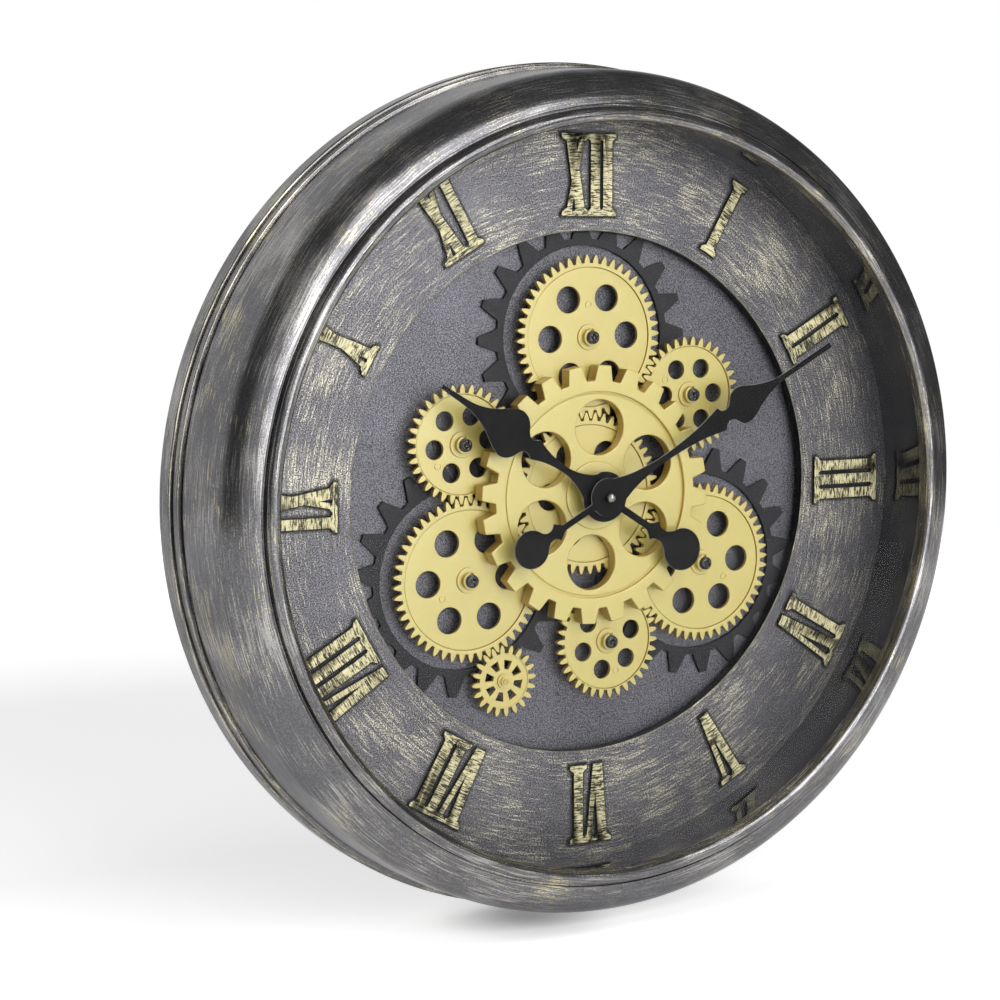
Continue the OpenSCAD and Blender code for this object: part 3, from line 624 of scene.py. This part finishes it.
# %% Numerals
LINE_REACH, LINE_FADE = 0.0022, 0.0012
numeral_mesh = softened_copy("numerals", 0.0008, 3)
numerals = add_piece("raised_numerals", numeral_mesh, numeral_paint, "case", "numerals")
letters = BVHTree.FromPolygons([v.co for v in numerals.data.vertices],
                               [p.vertices for p in numerals.data.polygons])
# How near a numeral each dial point lies; the dial finish darkens it there, partly as painted shade.
near = []
for v in ring.data.vertices:
    reach = letters.find_nearest(v.co, LINE_REACH)[3]
    near.append(0.0 if reach is None else min(1.0, (LINE_REACH - reach) / LINE_FADE))
set_attribute(ring.data, "near", "POINT", near)
print("numeral faces:", len(numerals.data.polygons))

# %% [markdown]
# ## Building blocks for geometry trees
# Geometry Nodes make what repeats: teeth, holes and screws. One function spreads copies round a
# circle, one joins parts, one fills closed curves and raises them to a block, and one ends a tree by
# realizing its instances and setting the material.

# %% Geometry helpers
GEOMETRY = {"Geometry": "Geometry"}


def shape_node(t, kind, first, **others):
    inputs = {key.replace("_", " "): value for key, value in others.items()}
    return add(t, "GeometryNode" + kind, {0: first, **inputs}).outputs[0]


def end_tree(t, shape, material, result):
    whole = shape_node(t, "RealizeInstances", shape)
    painted = shape_node(t, "SetMaterial", whole, Material=material)
    t.links.new(painted, result[0])


def vector(t, x=0.0, y=0.0, z=0.0):
    return add(t, "ShaderNodeCombineXYZ", {0: x, 1: y, 2: z}).outputs[0]


def spread(t, shape, count, turn, reach):
    points = shape_node(t, "Points", count)
    index = t.nodes.new("GeometryNodeInputIndex").outputs[0]
    angle = calc(t, "MULTIPLY_ADD", index, calc(t, "DIVIDE", 2 * pi, count), turn)
    spot = vector(t, calc(t, "MULTIPLY", calc(t, "COSINE", angle), reach),
                  calc(t, "MULTIPLY", calc(t, "SINE", angle), reach))
    moved = shape_node(t, "SetPosition", points, Position=spot)
    copies = shape_node(t, "InstanceOnPoints", moved, Instance=shape, Rotation=vector(t, z=angle))
    return shape_node(t, "RealizeInstances", copies)


def circle(t, radius, corners):
    return shape_node(t, "CurvePrimitiveCircle", corners, Radius=radius)


def join(t, *parts):
    node = t.nodes.new("GeometryNodeJoinGeometry")
    for part in reversed(parts):
        t.links.new(part, node.inputs[0])
    return node.outputs[0]


def merge(t, shape, distance):
    return shape_node(t, "MergeByDistance", shape, Distance=distance)


def block(t, curves, height):
    sheet = shape_node(t, "FillCurve", curves)
    rise = vector(t, z=height)
    grown = shape_node(t, "ExtrudeMesh", sheet, Offset=rise, Offset_Scale=1.0, Individual=False)
    under = shape_node(t, "FlipFaces", sheet)
    return merge(t, join(t, grown, under), 1e-7)


print("geometry helpers ready")

# %% [markdown]
# ## A tree that makes toothed wheels
# A wheel is one tooth repeated round a circle to a closed curve, a web with round holes, and a bore.
# Rim and web are filled apart, because the web is lower and a fine groove can part them. All sizes
# are named inputs, set by the identifier of each socket, so one tree makes every wheel.

# %% Wheel tree
HOLE_CORNERS, WEB_CORNERS, BORE_CORNERS = 40, 160, 48


def wheel_tree():
    sizes = ("Tooth turn, Rim height, Web height, Web radius, Groove, Hole radius, Hole circle, Hole turn, "
             "Bore")
    inputs = {"Int": "Teeth, Holes", "Float": sizes, "Vector": "Place", "Material": "Material"}
    t, given, result = new_tree("Geometry", "Toothed wheel", {**GEOMETRY, **inputs}, GEOMETRY)
    teeth = spread(t, given["Geometry"], given["Teeth"], given["Tooth turn"], 0.0)
    outline = shape_node(t, "MeshToCurve", merge(t, teeth, 2e-6))
    hole = circle(t, given["Hole radius"], HOLE_CORNERS)
    holes = spread(t, hole, given["Holes"], given["Hole turn"], given["Hole circle"])
    rim_curves = join(t, outline, circle(t, given["Web radius"], WEB_CORNERS))
    web_edge = calc(t, "SUBTRACT", given["Web radius"], given["Groove"])
    web_curves = join(t, circle(t, web_edge, WEB_CORNERS), holes, circle(t, given["Bore"], BORE_CORNERS))
    flat = join(t, block(t, rim_curves, given["Rim height"]), block(t, web_curves, given["Web height"]))
    upright = shape_node(t, "Transform", flat, Translation=given["Place"], Rotation=(pi / 2, 0, 0))
    end_tree(t, upright, given["Material"], result)
    return t


def run_tree(tree, mesh, values, soften=0.0, segments=2):
    maker = linked("maker", mesh)
    modifier = maker.modifiers.new(tree.name, "NODES")
    modifier.node_group = tree
    for item in tree.interface.items_tree:
        if item.in_out == "INPUT" and item.name in values:
            modifier[item.identifier] = values[item.name]
    if soften:
        add_bevel(maker, soften, segments, 30)
    return even_normals(evaluated(maker))


def toothed_wheel(tooth, material, at, back, soften, segments=2, **sizes):
    mesh = bpy.data.meshes.new("tooth")
    edges = [(i, i + 1) for i in range(len(tooth) - 1)]
    mesh.from_pydata([(x * MM, y * MM, 0) for x, y in tooth], edges, [])
    values = {"Place": (at[0] * MM, -back * MM, at[1] * MM), "Material": material}
    for key, value in sizes.items():
        label = key.replace("_", " ").capitalize()
        if label not in ("Teeth", "Holes"):
            value = radians(value) if label.endswith("turn") else value * MM
        values[label] = value
    return run_tree(wheel, mesh, values, soften, segments)


wheel = wheel_tree()
print("wheel tree:", len(wheel.nodes), "nodes")

# %% [markdown]
# ## The teeth
# The meshing gears have involute teeth, thinned so that daylight shows between them. The front
# centre gear and the backing rings have straight-sided blocks. Each function gives one pitch of the
# outline, from the middle of one gap to the next.

# %% Tooth outlines
MODULE, PRESSURE = 1.75, radians(20)
ROOT_DEPTH, TOOTH_SHARE = 1.5, 0.42
FLANK = (0, 0.2, 0.4, 0.6, 0.8, 1)


def involute_tooth(teeth):
    pitch = MODULE * teeth / 2
    root, tip = pitch - ROOT_DEPTH * MODULE, pitch + MODULE
    width = TOOTH_SHARE * pi * MODULE

    def half(r):
        lean = acos(min(1.0, pitch * cos(PRESSURE) / r))
        return width / (2 * pitch) + tan(PRESSURE) - PRESSURE - tan(lean) + lean

    radii = [root + (tip - root) * s for s in FLANK]
    rise = [polar(r, -half(r)) for r in radii]
    fall = [(x, -y) for x, y in reversed(rise)]
    return [polar(root, -pi / teeth), *rise, *fall, polar(root, pi / teeth)]


def block_tooth(teeth, root, tip, foot_width, tip_width):
    foot, head = asin(foot_width / 2 / root), asin(tip_width / 2 / tip)
    return [polar(root, -pi / teeth), polar(root, -foot), polar(tip, -head), polar(tip, head),
            polar(root, foot), polar(root, pi / teeth)]


print("one large tooth has", len(involute_tooth(48)), "points")

# %% [markdown]
# ## Where the gears sit
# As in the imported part, the rear centre gear carries three large gears, and each of them drives a
# medium one. The phase of each gear follows from the one it meshes with.

# %% Gear places
LARGE, MEDIUM = 48, 34
CENTRE_PHASE = 90 / LARGE
LARGE_WAYS, MEDIUM_TURN = (90, -30, 210), -117


def meshed(teeth_a, phase_a, way, teeth_b):
    return way + 180 - 360 / teeth_b * (0.5 - teeth_a * (way - phase_a) / 360)


def step(point, reach, angle):
    x, y = polar(reach, radians(angle))
    return (point[0] + x, point[1] + y)


medium_ways = [way + MEDIUM_TURN for way in LARGE_WAYS]
large_at = [step((0, 0), MODULE * LARGE, way) for way in LARGE_WAYS]
large_phase = [meshed(LARGE, CENTRE_PHASE, way, LARGE) for way in LARGE_WAYS]
medium_at = [step(at, MODULE * (LARGE + MEDIUM) / 2, way) for at, way in zip(large_at, medium_ways)]
medium_phase = [meshed(LARGE, phase, way, MEDIUM) for phase, way in zip(large_phase, medium_ways)]
print("gear centres:", [tuple(round(v, 1) for v in at) for at in large_at + medium_at])

# %% [markdown]
# ## Parts of a gear
# A gear is a toothed disc, with a ring that closes the groove round its web from behind. On it
# stands a hub: a wide collar, a sleeve, and a crown with a notch. Two ring marks sit on the web.

# %% Gear parts
GEAR_BACK, GEAR_FRONT, WEB_DROP = 33.6, 36.6, 0.7
GROOVE, SEAT_HEIGHT = 0.35, 1.5
COLLAR_R, SLEEVE_R, HUB_BORE = 6.9, 4.6, 3.05
MARK_INNER, MARK_OUTER = 1.5, 2.0
HUB_BACK, HUB_TOP = BASE + 1.6, GEAR_FRONT + 3.3


def joined(*meshes):
    work = bmesh.new()
    for mesh in meshes:
        work.from_mesh(mesh)
    made = bpy.data.meshes.new("joined")
    work.to_mesh(made)
    work.free()
    return even_normals(made)


def square_ring(inner, outer, low, high, at=(0, 0), steps=40, outer_low=0, outer_high=0, inner_high=0):
    return turned([(inner, low, 0), (outer, low, outer_low), (outer, high, outer_high),
                   (inner, high, inner_high)], at, steps)


def spoked_wheel(teeth, at, phase, rim, hole_r, hole_circle, hole_turn, bore):
    web_r = MODULE * (teeth / 2 + 1) - rim
    thick = GEAR_FRONT - GEAR_BACK
    disc = toothed_wheel(
        involute_tooth(teeth), gear_gold, at, GEAR_BACK, 0.00022, teeth=teeth, tooth_turn=phase,
        rim_height=thick, web_height=thick - WEB_DROP, web_radius=web_r, groove=GROOVE, holes=6,
        hole_radius=hole_r, hole_circle=hole_circle, hole_turn=hole_turn, bore=bore)
    return joined(disc, square_ring(web_r - 2 * GROOVE, web_r, GEAR_BACK, GEAR_BACK + SEAT_HEIGHT, at, 96))


def post_hub(at):
    collar_top, notch = GEAR_FRONT + 0.4, GEAR_FRONT + 1.6
    collar = square_ring(HUB_BORE, COLLAR_R, HUB_BACK, collar_top, at, outer_high=0.4)
    sleeve = square_ring(HUB_BORE, SLEEVE_R, collar_top, notch, at)
    crown_line = [(HUB_BORE, notch, 0), (SLEEVE_R, notch, 0), (SLEEVE_R, HUB_TOP, 0.4),
                  (HUB_BORE, HUB_TOP, 0.2)]
    return collar, sleeve, turned(crown_line, at, 40, sweep=338, start=101)


def ring_marks(at, reach, turn):
    low, high = GEAR_FRONT - WEB_DROP - 0.2, GEAR_FRONT - WEB_DROP + 0.4
    spots = (step(at, reach, turn), step(at, reach, turn + 180))
    return [square_ring(MARK_INNER, MARK_OUTER, low, high, spot, 24, 0, 0.1, 0.1) for spot in spots]


print("a hub rises", round(HUB_TOP - HUB_BACK, 2), "mm")

# %% [markdown]
# ## The gear train
# The gears differ only in teeth, place and a few radii, so a loop makes them. The marks of a large
# gear lie on the line to the centre, and those of a medium gear between two of its holes.

# %% Gear train
LARGE_NAMES = ("top_gear", "right_gear", "left_gear")
MEDIUM_NAMES = ("upper_right_gear", "lower_gear", "upper_left_gear")
MEDIUM_HOLES, MEDIUM_MARKS = (1.1, 18.7, 8.1), (150, -90, 210)
LARGE_REACH, MEDIUM_REACH, POST_BORE = 17.4, 17.6, 4.4
# Width of the rim, radius of the holes, radius of their circle
LARGE_WEB, MEDIUM_WEB = (6.4, 7.2, 23.5), (5.0, 5.2, 15.9)


def add_gear(name, disc, at, mark_reach, mark_turn):
    mesh = joined(disc, *post_hub(at), *ring_marks(at, mark_reach, mark_turn))
    return add_piece("gilt_" + name, mesh, gear_gold, name, name)


for i in range(3):
    name, at = LARGE_NAMES[i], large_at[i]
    disc = spoked_wheel(LARGE, at, large_phase[i], *LARGE_WEB, CENTRE_PHASE, POST_BORE)
    gear = add_gear(name, disc, at, LARGE_REACH, LARGE_WAYS[i])
    name, at, hole_turn = MEDIUM_NAMES[i], medium_at[i], MEDIUM_HOLES[i]
    disc = spoked_wheel(MEDIUM, at, medium_phase[i], *MEDIUM_WEB, hole_turn, POST_BORE)
    add_gear(name, disc, at, MEDIUM_REACH, hole_turn + MEDIUM_MARKS[i])
print("large gear faces:", len(gear.data.polygons))

# %% [markdown]
# ## The centre gears
# The rear centre gear is another large gear on a thicker hub. The front one is a heavy moulding with
# blocky teeth, a groove inside its raised rim, and a flat boss. Both turn on one bush, as one body.

# %% Centre gears
FRONT_BACK, FRONT_FACE, FRONT_TURN = 37.5, 45.7, 86.2
FRONT_TEETH, FRONT_WEB_R, BUSH_BORE = 24, 55.4, 6.05
BOSS_R, NECK_R, BOSS_TOP, NECK_TOP = 18.4, 9, FRONT_FACE - 0.3, FRONT_FACE + 2
REAR_HUB_R, REAR_BORE = 10, 9.0
rear = spoked_wheel(LARGE, (0, 0), CENTRE_PHASE, *LARGE_WEB, CENTRE_PHASE, REAR_BORE)
rear_hub = square_ring(BUSH_BORE, REAR_HUB_R, HUB_BACK, FRONT_BACK, steps=48, outer_low=0.3)
rear = joined(rear, rear_hub)
add_piece("gilt_centre_rear", rear, gear_gold, "centre_gears", "centre_gear_rear")
front_tooth = block_tooth(FRONT_TEETH, root=61.3, tip=69.6, foot_width=11.2, tip_width=8.0)
front = toothed_wheel(
    front_tooth, gear_gold, (0, 0), FRONT_BACK, 0.0006, 3, teeth=FRONT_TEETH, tooth_turn=FRONT_TURN,
    rim_height=FRONT_FACE - FRONT_BACK, web_height=FRONT_FACE - FRONT_BACK - 1.5, web_radius=FRONT_WEB_R,
    groove=1.0, holes=6, hole_radius=14.9, hole_circle=36.3, hole_turn=FRONT_TURN, bore=8.0)
boss_line = [(BUSH_BORE, FRONT_BACK + 0.1, 0), (BOSS_R, FRONT_BACK + 0.1, 0), (BOSS_R, BOSS_TOP, 0.7),
             (NECK_R, BOSS_TOP, 0.5), (NECK_R, NECK_TOP, 0.3), (BUSH_BORE, NECK_TOP, 0)]
boss = turned(boss_line, steps=96)
front_seat = square_ring(54.1, FRONT_WEB_R, FRONT_BACK, FRONT_FACE - 2.1, steps=160)
front_gear = add_piece("gilt_centre_front", joined(front, boss, front_seat), gear_gold, "centre_gears",
                       "centre_gear_front")
print("front gear faces:", len(front_gear.data.polygons))

# %% [markdown]
# ## The backing rings and the drive gear
# The backing rings are flat black plates, so the wheel tree makes them with rim and web of one
# height. Their one hole lies inside the bore and fills as a small disc, unseen within the gear's
# post. The drive gear has windows for holes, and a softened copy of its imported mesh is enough.

# %% Backing rings and drive gear
PLATE_TEETH, PLATE = 20, 2.2
PLATE_TURNS = {"top_backing_ring": 1, "right_backing_ring": 5.6, "left_backing_ring": 12.6}
pitch = MODULE * LARGE / 2
for at, (name, turn) in zip(large_at, PLATE_TURNS.items()):
    tooth = block_tooth(PLATE_TEETH, root=pitch + 10.5, tip=pitch + 21.5, foot_width=12, tip_width=4)
    plate = toothed_wheel(
        tooth, backing_black, at, BASE, 0.0003, teeth=PLATE_TEETH, tooth_turn=turn, rim_height=PLATE,
        web_height=PLATE, web_radius=pitch + 8.5, holes=1, hole_radius=2, hole_circle=0.0, hole_turn=0.0,
        bore=pitch + 6.7)
    add_piece("black_" + name, plate, backing_black, "case", name)
drive = add_piece("gilt_drive_gear", softened_copy("drive_gear", 0.0002), gear_gold, "drive_gear",
                  "drive_gear")
print("drive gear faces:", len(drive.data.polygons))

# %% [markdown]
# ## The outlines of the hands
# Each hand is symmetric, so half its width is listed along it: a disc at the tail, a thin bar with a
# cross nib, the hub, and a spade. A smooth line runs through the points, and the discs are arcs.

# %% Hand outlines
def through(points, steps=6):
    line = []
    last = len(points) - 1
    for i in range(last):
        a, b, c, d = (Vector(points[max(0, min(last, k))]) for k in (i - 1, i, i + 1, i + 2))
        for k in range(steps):
            s = k / steps
            bend = (2 * a - 5 * b + 4 * c - d) * s * s + (3 * b - a - 3 * c + d) * s ** 3
            line.append(0.5 * (2 * b + (c - a) * s + bend))
    return line + [Vector(points[-1])]


def disc_arc(centre, radius, left, right, steps=26):
    first, last = (acos(max(-1, min(1, (end - centre) / radius))) for end in (left, right))
    angles = [first + (last - first) * k / steps for k in range(steps + 1)]
    return [Vector((centre + radius * cos(a), radius * sin(a))) for a in angles]


MINUTE_DRAWN, MINUTE_TIP, HOUR_TIP = 161, 163, 115
minute_drawn = [
    *disc_arc(-52.6, 10.2, -62.8, -43.9),
    *through([(-43.4, 4.4), (-41.2, 2.8), (-39.4, 2.5), (-37.4, 2.9), (-36, 3.9)]),
    *through([(-35.3, 5.2), (-33, 3.4), (-31, 2), (-29.4, 1.75), (-20, 1.75), (-10.6, 1.8)]),
    *disc_arc(0, 10.3, -10.1, 7.4),
    *through([(7.8, 7.0), (12, 5.6), (16, 4.4), (22, 3.2), (28.7, 2.4), (38.7, 1.75), (53.7, 2.3), (66, 3.7),
              (73, 5.1), (80.6, 6.8)]),
    *through([(81.3, 5.4), (82.4, 4.2), (84.6, 3.4), (86.6, 3.7), (88.5, 5.2), (91, 8.6), (93.5, 10),
              (96.2, 10.4), (99, 9.9), (102, 8.6), (106, 6.5), (110, 4.9), (114, 3.5), (118, 2.4),
              (121, 1.9), (126, 1.6), (MINUTE_DRAWN, 1.55)]),
    Vector((MINUTE_DRAWN, 0))]
stretch = MINUTE_TIP / MINUTE_DRAWN
minute_line = [Vector((p.x * (stretch if p.x > 0 else 1), p.y)) for p in minute_drawn]
hour_line = [
    *disc_arc(-58, 11.5, -69.5, -48.5),
    *through([(-48, 5.8), (-44.6, 3.6), (-42.5, 3.2), (-40, 3.4), (-37.8, 4.5)]),
    *through([(-37, 5.6), (-35, 3.9), (-33, 2.4), (-30.6, 1.9), (-20, 1.9), (-13.6, 1.95)]),
    *disc_arc(0, 13.5, -13.3, 9.8),
    *through([(10.2, 8.2), (12, 6.6), (16, 4.6), (20, 3.2), (24, 2.3), (28.7, 1.8), (33, 1.9), (38.7, 2.5),
              (45, 4), (50, 5.8)]),
    *through([(50.8, 5), (52, 4.3), (54, 3.8), (56, 4.1), (58, 6.2), (60, 9.6), (63, 12.3), (66.9, 13.4),
              (70, 12.8), (73, 11.4), (77, 9), (81, 6.6), (85, 4.7), (89, 3.3), (93, 2.3), (97, 1.8),
              (105, 1.45), (HOUR_TIP, 1.2)]),
    Vector((HOUR_TIP, 0))]
print("outline points:", len(minute_line), len(hour_line))

# %% [markdown]
# ## The hands and their nut
# The hands are stamped from sheet. A flat curve with a hole, a little thickness and a fine bevel
# gives the sheet, turned to its hour. A collar grips the shaft, and a bright nut with a ball end
# closes the stack.

# %% Hands
HOUR_Z, MINUTE_Z, SHEET, EDGE = 53.119, 56.676, 0.8, 0.12
# Line, bore, height, angle, then radius and foot of the collar
HANDS = {"hour_hand": (hour_line, 2.7, HOUR_Z, 147.5, 4.4, 52.31),
         "minute_hand": (minute_line, 1.6, MINUTE_Z, 28.5, 3.2, HOUR_Z + SHEET + 0.9)}


def hand_mesh(upper, hole, height, angle):
    curve = bpy.data.curves.new("hand", "CURVE")
    set_all(curve, dimensions="2D", fill_mode="BOTH", bevel_depth=EDGE * MM, bevel_resolution=1,
            extrude=(SHEET / 2 - EDGE) * MM, offset=-EDGE * MM)
    lower = [Vector((p.x, -p.y)) for p in reversed(upper[1:-1])]
    bore = [Vector(polar(hole, 2 * pi * k / 32)) for k in range(32)]
    for points in ([*upper, *lower], bore):
        spline = curve.splines.new("POLY")
        spline.points.add(len(points) - 1)
        spline.use_cyclic_u = True
        for dot, p in zip(spline.points, points):
            dot.co = (p.x * MM, p.y * MM, 0, 1)
    mesh = even_normals(evaluated(linked("maker", curve)))
    cos_a, sin_a = polar(1, radians(angle))
    for v in mesh.vertices:
        x, y, z = v.co
        v.co = (x * cos_a - y * sin_a, -(height + SHEET / 2) * MM - z, x * sin_a + y * cos_a)
    return cleaned(mesh)


for name, (line, bore, height, angle, collar_r, collar_foot) in HANDS.items():
    collar = square_ring(bore, collar_r, collar_foot, height + 0.1, outer_low=0.2)
    mesh = joined(hand_mesh(line, bore, height, angle), collar)
    add_piece("black_" + name, mesh, hand_black, name, name)
    print(name, "faces:", len(mesh.polygons))
seat = MINUTE_Z + SHEET
nut_line = [(1.6, seat, 0), (2.3, seat, 0.1), (2.3, seat + 0.7, 0.2),
            *arc_points((0, seat + 2.4), 2.7, -34, 88, 16), (0.02, seat + 5.1, 0),
            (0.02, seat + 1, 0), (1.6, seat + 1, 0)]
nut = turned(nut_line, steps=40)
add_piece("ball_nut", nut, bright_steel, "minute_hand", "hand_nut")
print("nut faces:", len(nut.polygons))

# %% [markdown]
# ## One screw
# Six black cross-head screws hold the gears. One is turned, and a cross of two bars is cut out of
# its head with a boolean, because a cross has no place in a turned section.

# %% Gear screw
SCREW_SEAT, SCREW_HEAD, SHANK, SHANK_LENGTH = GEAR_FRONT + 4.0, 3.4, 1.4, 9.0
HEAD_TOP, CROSS_WIDTH, CROSS_DEPTH, CROSS_SHARE = SCREW_SEAT + 1.9, 0.9, 2, 0.62
CENTRE_R = 0.02


def cross_bars():
    work = bmesh.new()
    reach = CROSS_SHARE * SCREW_HEAD * 2
    for width, height in ((reach, CROSS_WIDTH), (CROSS_WIDTH, reach)):
        for v in bmesh.ops.create_cube(work, size=1)["verts"]:
            v.co = (v.co.x * width * MM, (-HEAD_TOP + v.co.y * CROSS_DEPTH) * MM, v.co.z * height * MM)
    mesh = bpy.data.meshes.new("cross")
    work.to_mesh(mesh)
    work.free()
    return mesh


def screw_mesh():
    foot = SCREW_SEAT - SHANK_LENGTH
    line = [(CENTRE_R, foot, 0), (SHANK, foot, 0.3), (SHANK, SCREW_SEAT, 0), (SCREW_HEAD, SCREW_SEAT, 0.2),
            (SCREW_HEAD, SCREW_SEAT + 1.1, 0.3), (SCREW_HEAD - 1, HEAD_TOP, 0.5),
            (CENTRE_R, HEAD_TOP + 0.05, 0)]
    maker = linked("maker", turned(line, steps=36))
    knife = linked("knife", cross_bars())
    carve = maker.modifiers.new("cross", "BOOLEAN")
    set_all(carve, object=knife, operation="DIFFERENCE", solver="EXACT", use_self=True)
    mesh = even_normals(evaluated(maker))
    bpy.data.objects.remove(knife)
    return mesh


gear_screw = screw_mesh()
print("one screw has", len(gear_screw.polygons), "faces")

# %% [markdown]
# ## Screws and washers in their places
# A small tree sets a copy of a part on each point of a mesh that holds only the places, and turns
# each copy a little further, as screws stop where they stop.

# %% Screws and washers
SPIN = 0.7


def repeat_tree():
    inputs = {"Object": "Part", "Material": "Material"}
    t, given, result = new_tree("Geometry", "Copies on places", {**GEOMETRY, **inputs}, GEOMETRY)
    part = add(t, "GeometryNodeObjectInfo", {"Object": given["Part"]}).outputs["Geometry"]
    index = t.nodes.new("GeometryNodeInputIndex").outputs[0]
    spin = vector(t, y=calc(t, "MULTIPLY", index, SPIN))
    copies = shape_node(t, "InstanceOnPoints", given["Geometry"], Instance=part, Rotation=spin)
    end_tree(t, copies, given["Material"], result)
    return t


def add_copies(name, part, places, node):
    shape = linked("part", part)
    dots = bpy.data.meshes.new("places")
    dots.from_pydata([(x * MM, 0, y * MM) for x, y in places], [], [])
    mesh = run_tree(repeat, dots, {"Part": shape, "Material": black_screw})
    bpy.data.objects.remove(shape)
    return add_piece(name, mesh, black_screw, "case", node)


repeat = repeat_tree()
posts = large_at + medium_at
screws = add_copies("gear_screw_set", gear_screw, posts, "gear_screws")
washer = square_ring(1.45, 3.6, SCREW_SEAT - 0.5, SCREW_SEAT, outer_low=0.1, outer_high=0.15)
add_copies("gear_washer_set", washer, posts, "gear_washers")
print("screw set faces:", len(screws.data.polygons))

# %% [markdown]
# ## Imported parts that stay
# The plain parts behind the dial and on the back already have the right shape. They keep their
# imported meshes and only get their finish.

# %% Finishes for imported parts
def dress(material, *names):
    for name in names:
        mesh = nodes[name].data
        mesh.materials.clear()
        mesh.materials.append(material)


dress(clear_glass, "front_glass")
dress(base_paint, "base_plate")
dress(plain_steel, "base_screws", "gear_posts", "movement_contacts", "drive_contacts", "cover_screws",
      "hanger_plate", "hanger_rivets")
dress(black_screw, "drive_screws")
dress(turned_brass, "centre_bush", "stem_washer", "stem_nut", "hour_tube", "minute_shaft", "drive_shaft")
dress(unit_plastic, "movement_case", "drive_case")
dress(cover_plastic, "back_cover")
dress(cell_wrap, "movement_battery", "drive_battery")
dress(knob_plastic, "set_knob")
print("dressed packed parts")

# %% [markdown]
# ## The floor
# The clock stands in a white studio. The floor glows only for what looks at it, directly or in a
# reflection, so it reads as white and keeps the shadow. The glow grows to the far edge, where floor
# and background meet. It is weaker behind the clock than in front, and held back where the clock
# touches the ground: both are painted shadow, deepening the cast one.

# %% Floor
FLOOR, FLOOR_R, FLOOR_CORNERS = -0.2302, 1.7, 96
MIDDLE, CONTACT = (0.0, -0.04, FLOOR), (-0.035, -0.032, FLOOR)
corners = [polar(1, 2 * pi * k / FLOOR_CORNERS) for k in range(FLOOR_CORNERS)]
sheet = bpy.data.meshes.new("floor")
sheet.from_pydata([(FLOOR_R * x, FLOOR_R * y, FLOOR) for x, y in corners], [], [tuple(range(FLOOR_CORNERS))])
floor = linked("floor", sheet)
pale, t, shader, place = start_material(
    "Pale floor", Roughness=0.9, Specular_IOR_Level=0.0, Base_Color=(0.86, 0.86, 0.86, 1),
    Emission_Color=(1, 1, 1, 1))


def distance_to(tree, place, point):
    return add(tree, "ShaderNodeVectorMath", {0: place, 1: point}, operation="DISTANCE").outputs["Value"]


far_glow = remap(t, distance_to(t, place, MIDDLE), 0.7, 1.5, 0.4, 1.0)
# Less glow behind the clock than in front, so its shadow stays darker there: painted shadow.
near_glow = remap(t, part_of(t, place, 1), 0.0, 0.16, 0.56, 0.4)
# Glow held back round the point of contact: a painted contact shadow.
dim = remap(t, distance_to(t, place, CONTACT), 0.0, 0.06, 0.4, 0.0, kind="SMOOTHSTEP")
glow = calc(t, "SUBTRACT", calc(t, "MAXIMUM", near_glow, far_glow), dim)
seen = any_ray(t, "Camera", "Glossy", "Transmission")
t.links.new(calc(t, "MULTIPLY", seen, glow), shader["Emission Strength"])
sheet.materials.append(pale)
print("floor at", FLOOR, "m")

# %% [markdown]
# ## The studio around it
# The world is white to the camera. For reflections it is bright behind the clock, with a soft glow
# from the front left, and dim elsewhere, because a moulding needs dark parts of the room to mirror.

# %% World
FRONT_LEFT = (-0.25, -0.95, 0.19)
world = bpy.data.worlds.new("Studio")
scene.world = world
world.use_nodes = True
t = world.node_tree
seen = any_ray(t, "Camera", "Transmission")
way = t.nodes.new("ShaderNodeTexCoord").outputs["Generated"]
behind = calc(t, "MULTIPLY_ADD", part_of(t, way, 0), -0.35, part_of(t, way, 1))
bright = remap(t, behind, 0.3, 0.8, 0.1, 1.0, kind="SMOOTHSTEP")
to_front = add(t, "ShaderNodeVectorMath", {0: way, 1: FRONT_LEFT}, operation="DOT_PRODUCT").outputs["Value"]
front = remap(t, to_front, 0.72, 0.98, 0.0, 0.9, kind="SMOOTHSTEP")
background = t.nodes["Background"].inputs
t.links.new(calc(t, "MAXIMUM", seen, calc(t, "ADD", bright, front)), background["Strength"])
background["Color"].default_value = (1, 1, 1, 1)
print("world:", len(t.nodes), "nodes")

# %% [markdown]
# ## The lamps
# A large soft lamp in front lights the dial and the gears. One above adds light to the floor and the
# top of the case, but stays out of reflections, where it would draw a hard white band.

# %% Lamps
def lamp(name, place, size, watts):
    light = bpy.data.lights.new(name, "AREA")
    set_all(light, shape="RECTANGLE", size=size[0], size_y=size[1], energy=watts)
    obj = linked(name, light)
    aim(obj, place, -Vector(place))
    return obj


lamp("Key", (0.15, -1.6, 0.54), (1.2, 1.4), 21)
top = lamp("Top", (0.3, -0.5, 1.8), (1.1, 1.1), 14)
top.visible_glossy = False
scene.view_settings.view_transform = "Standard"
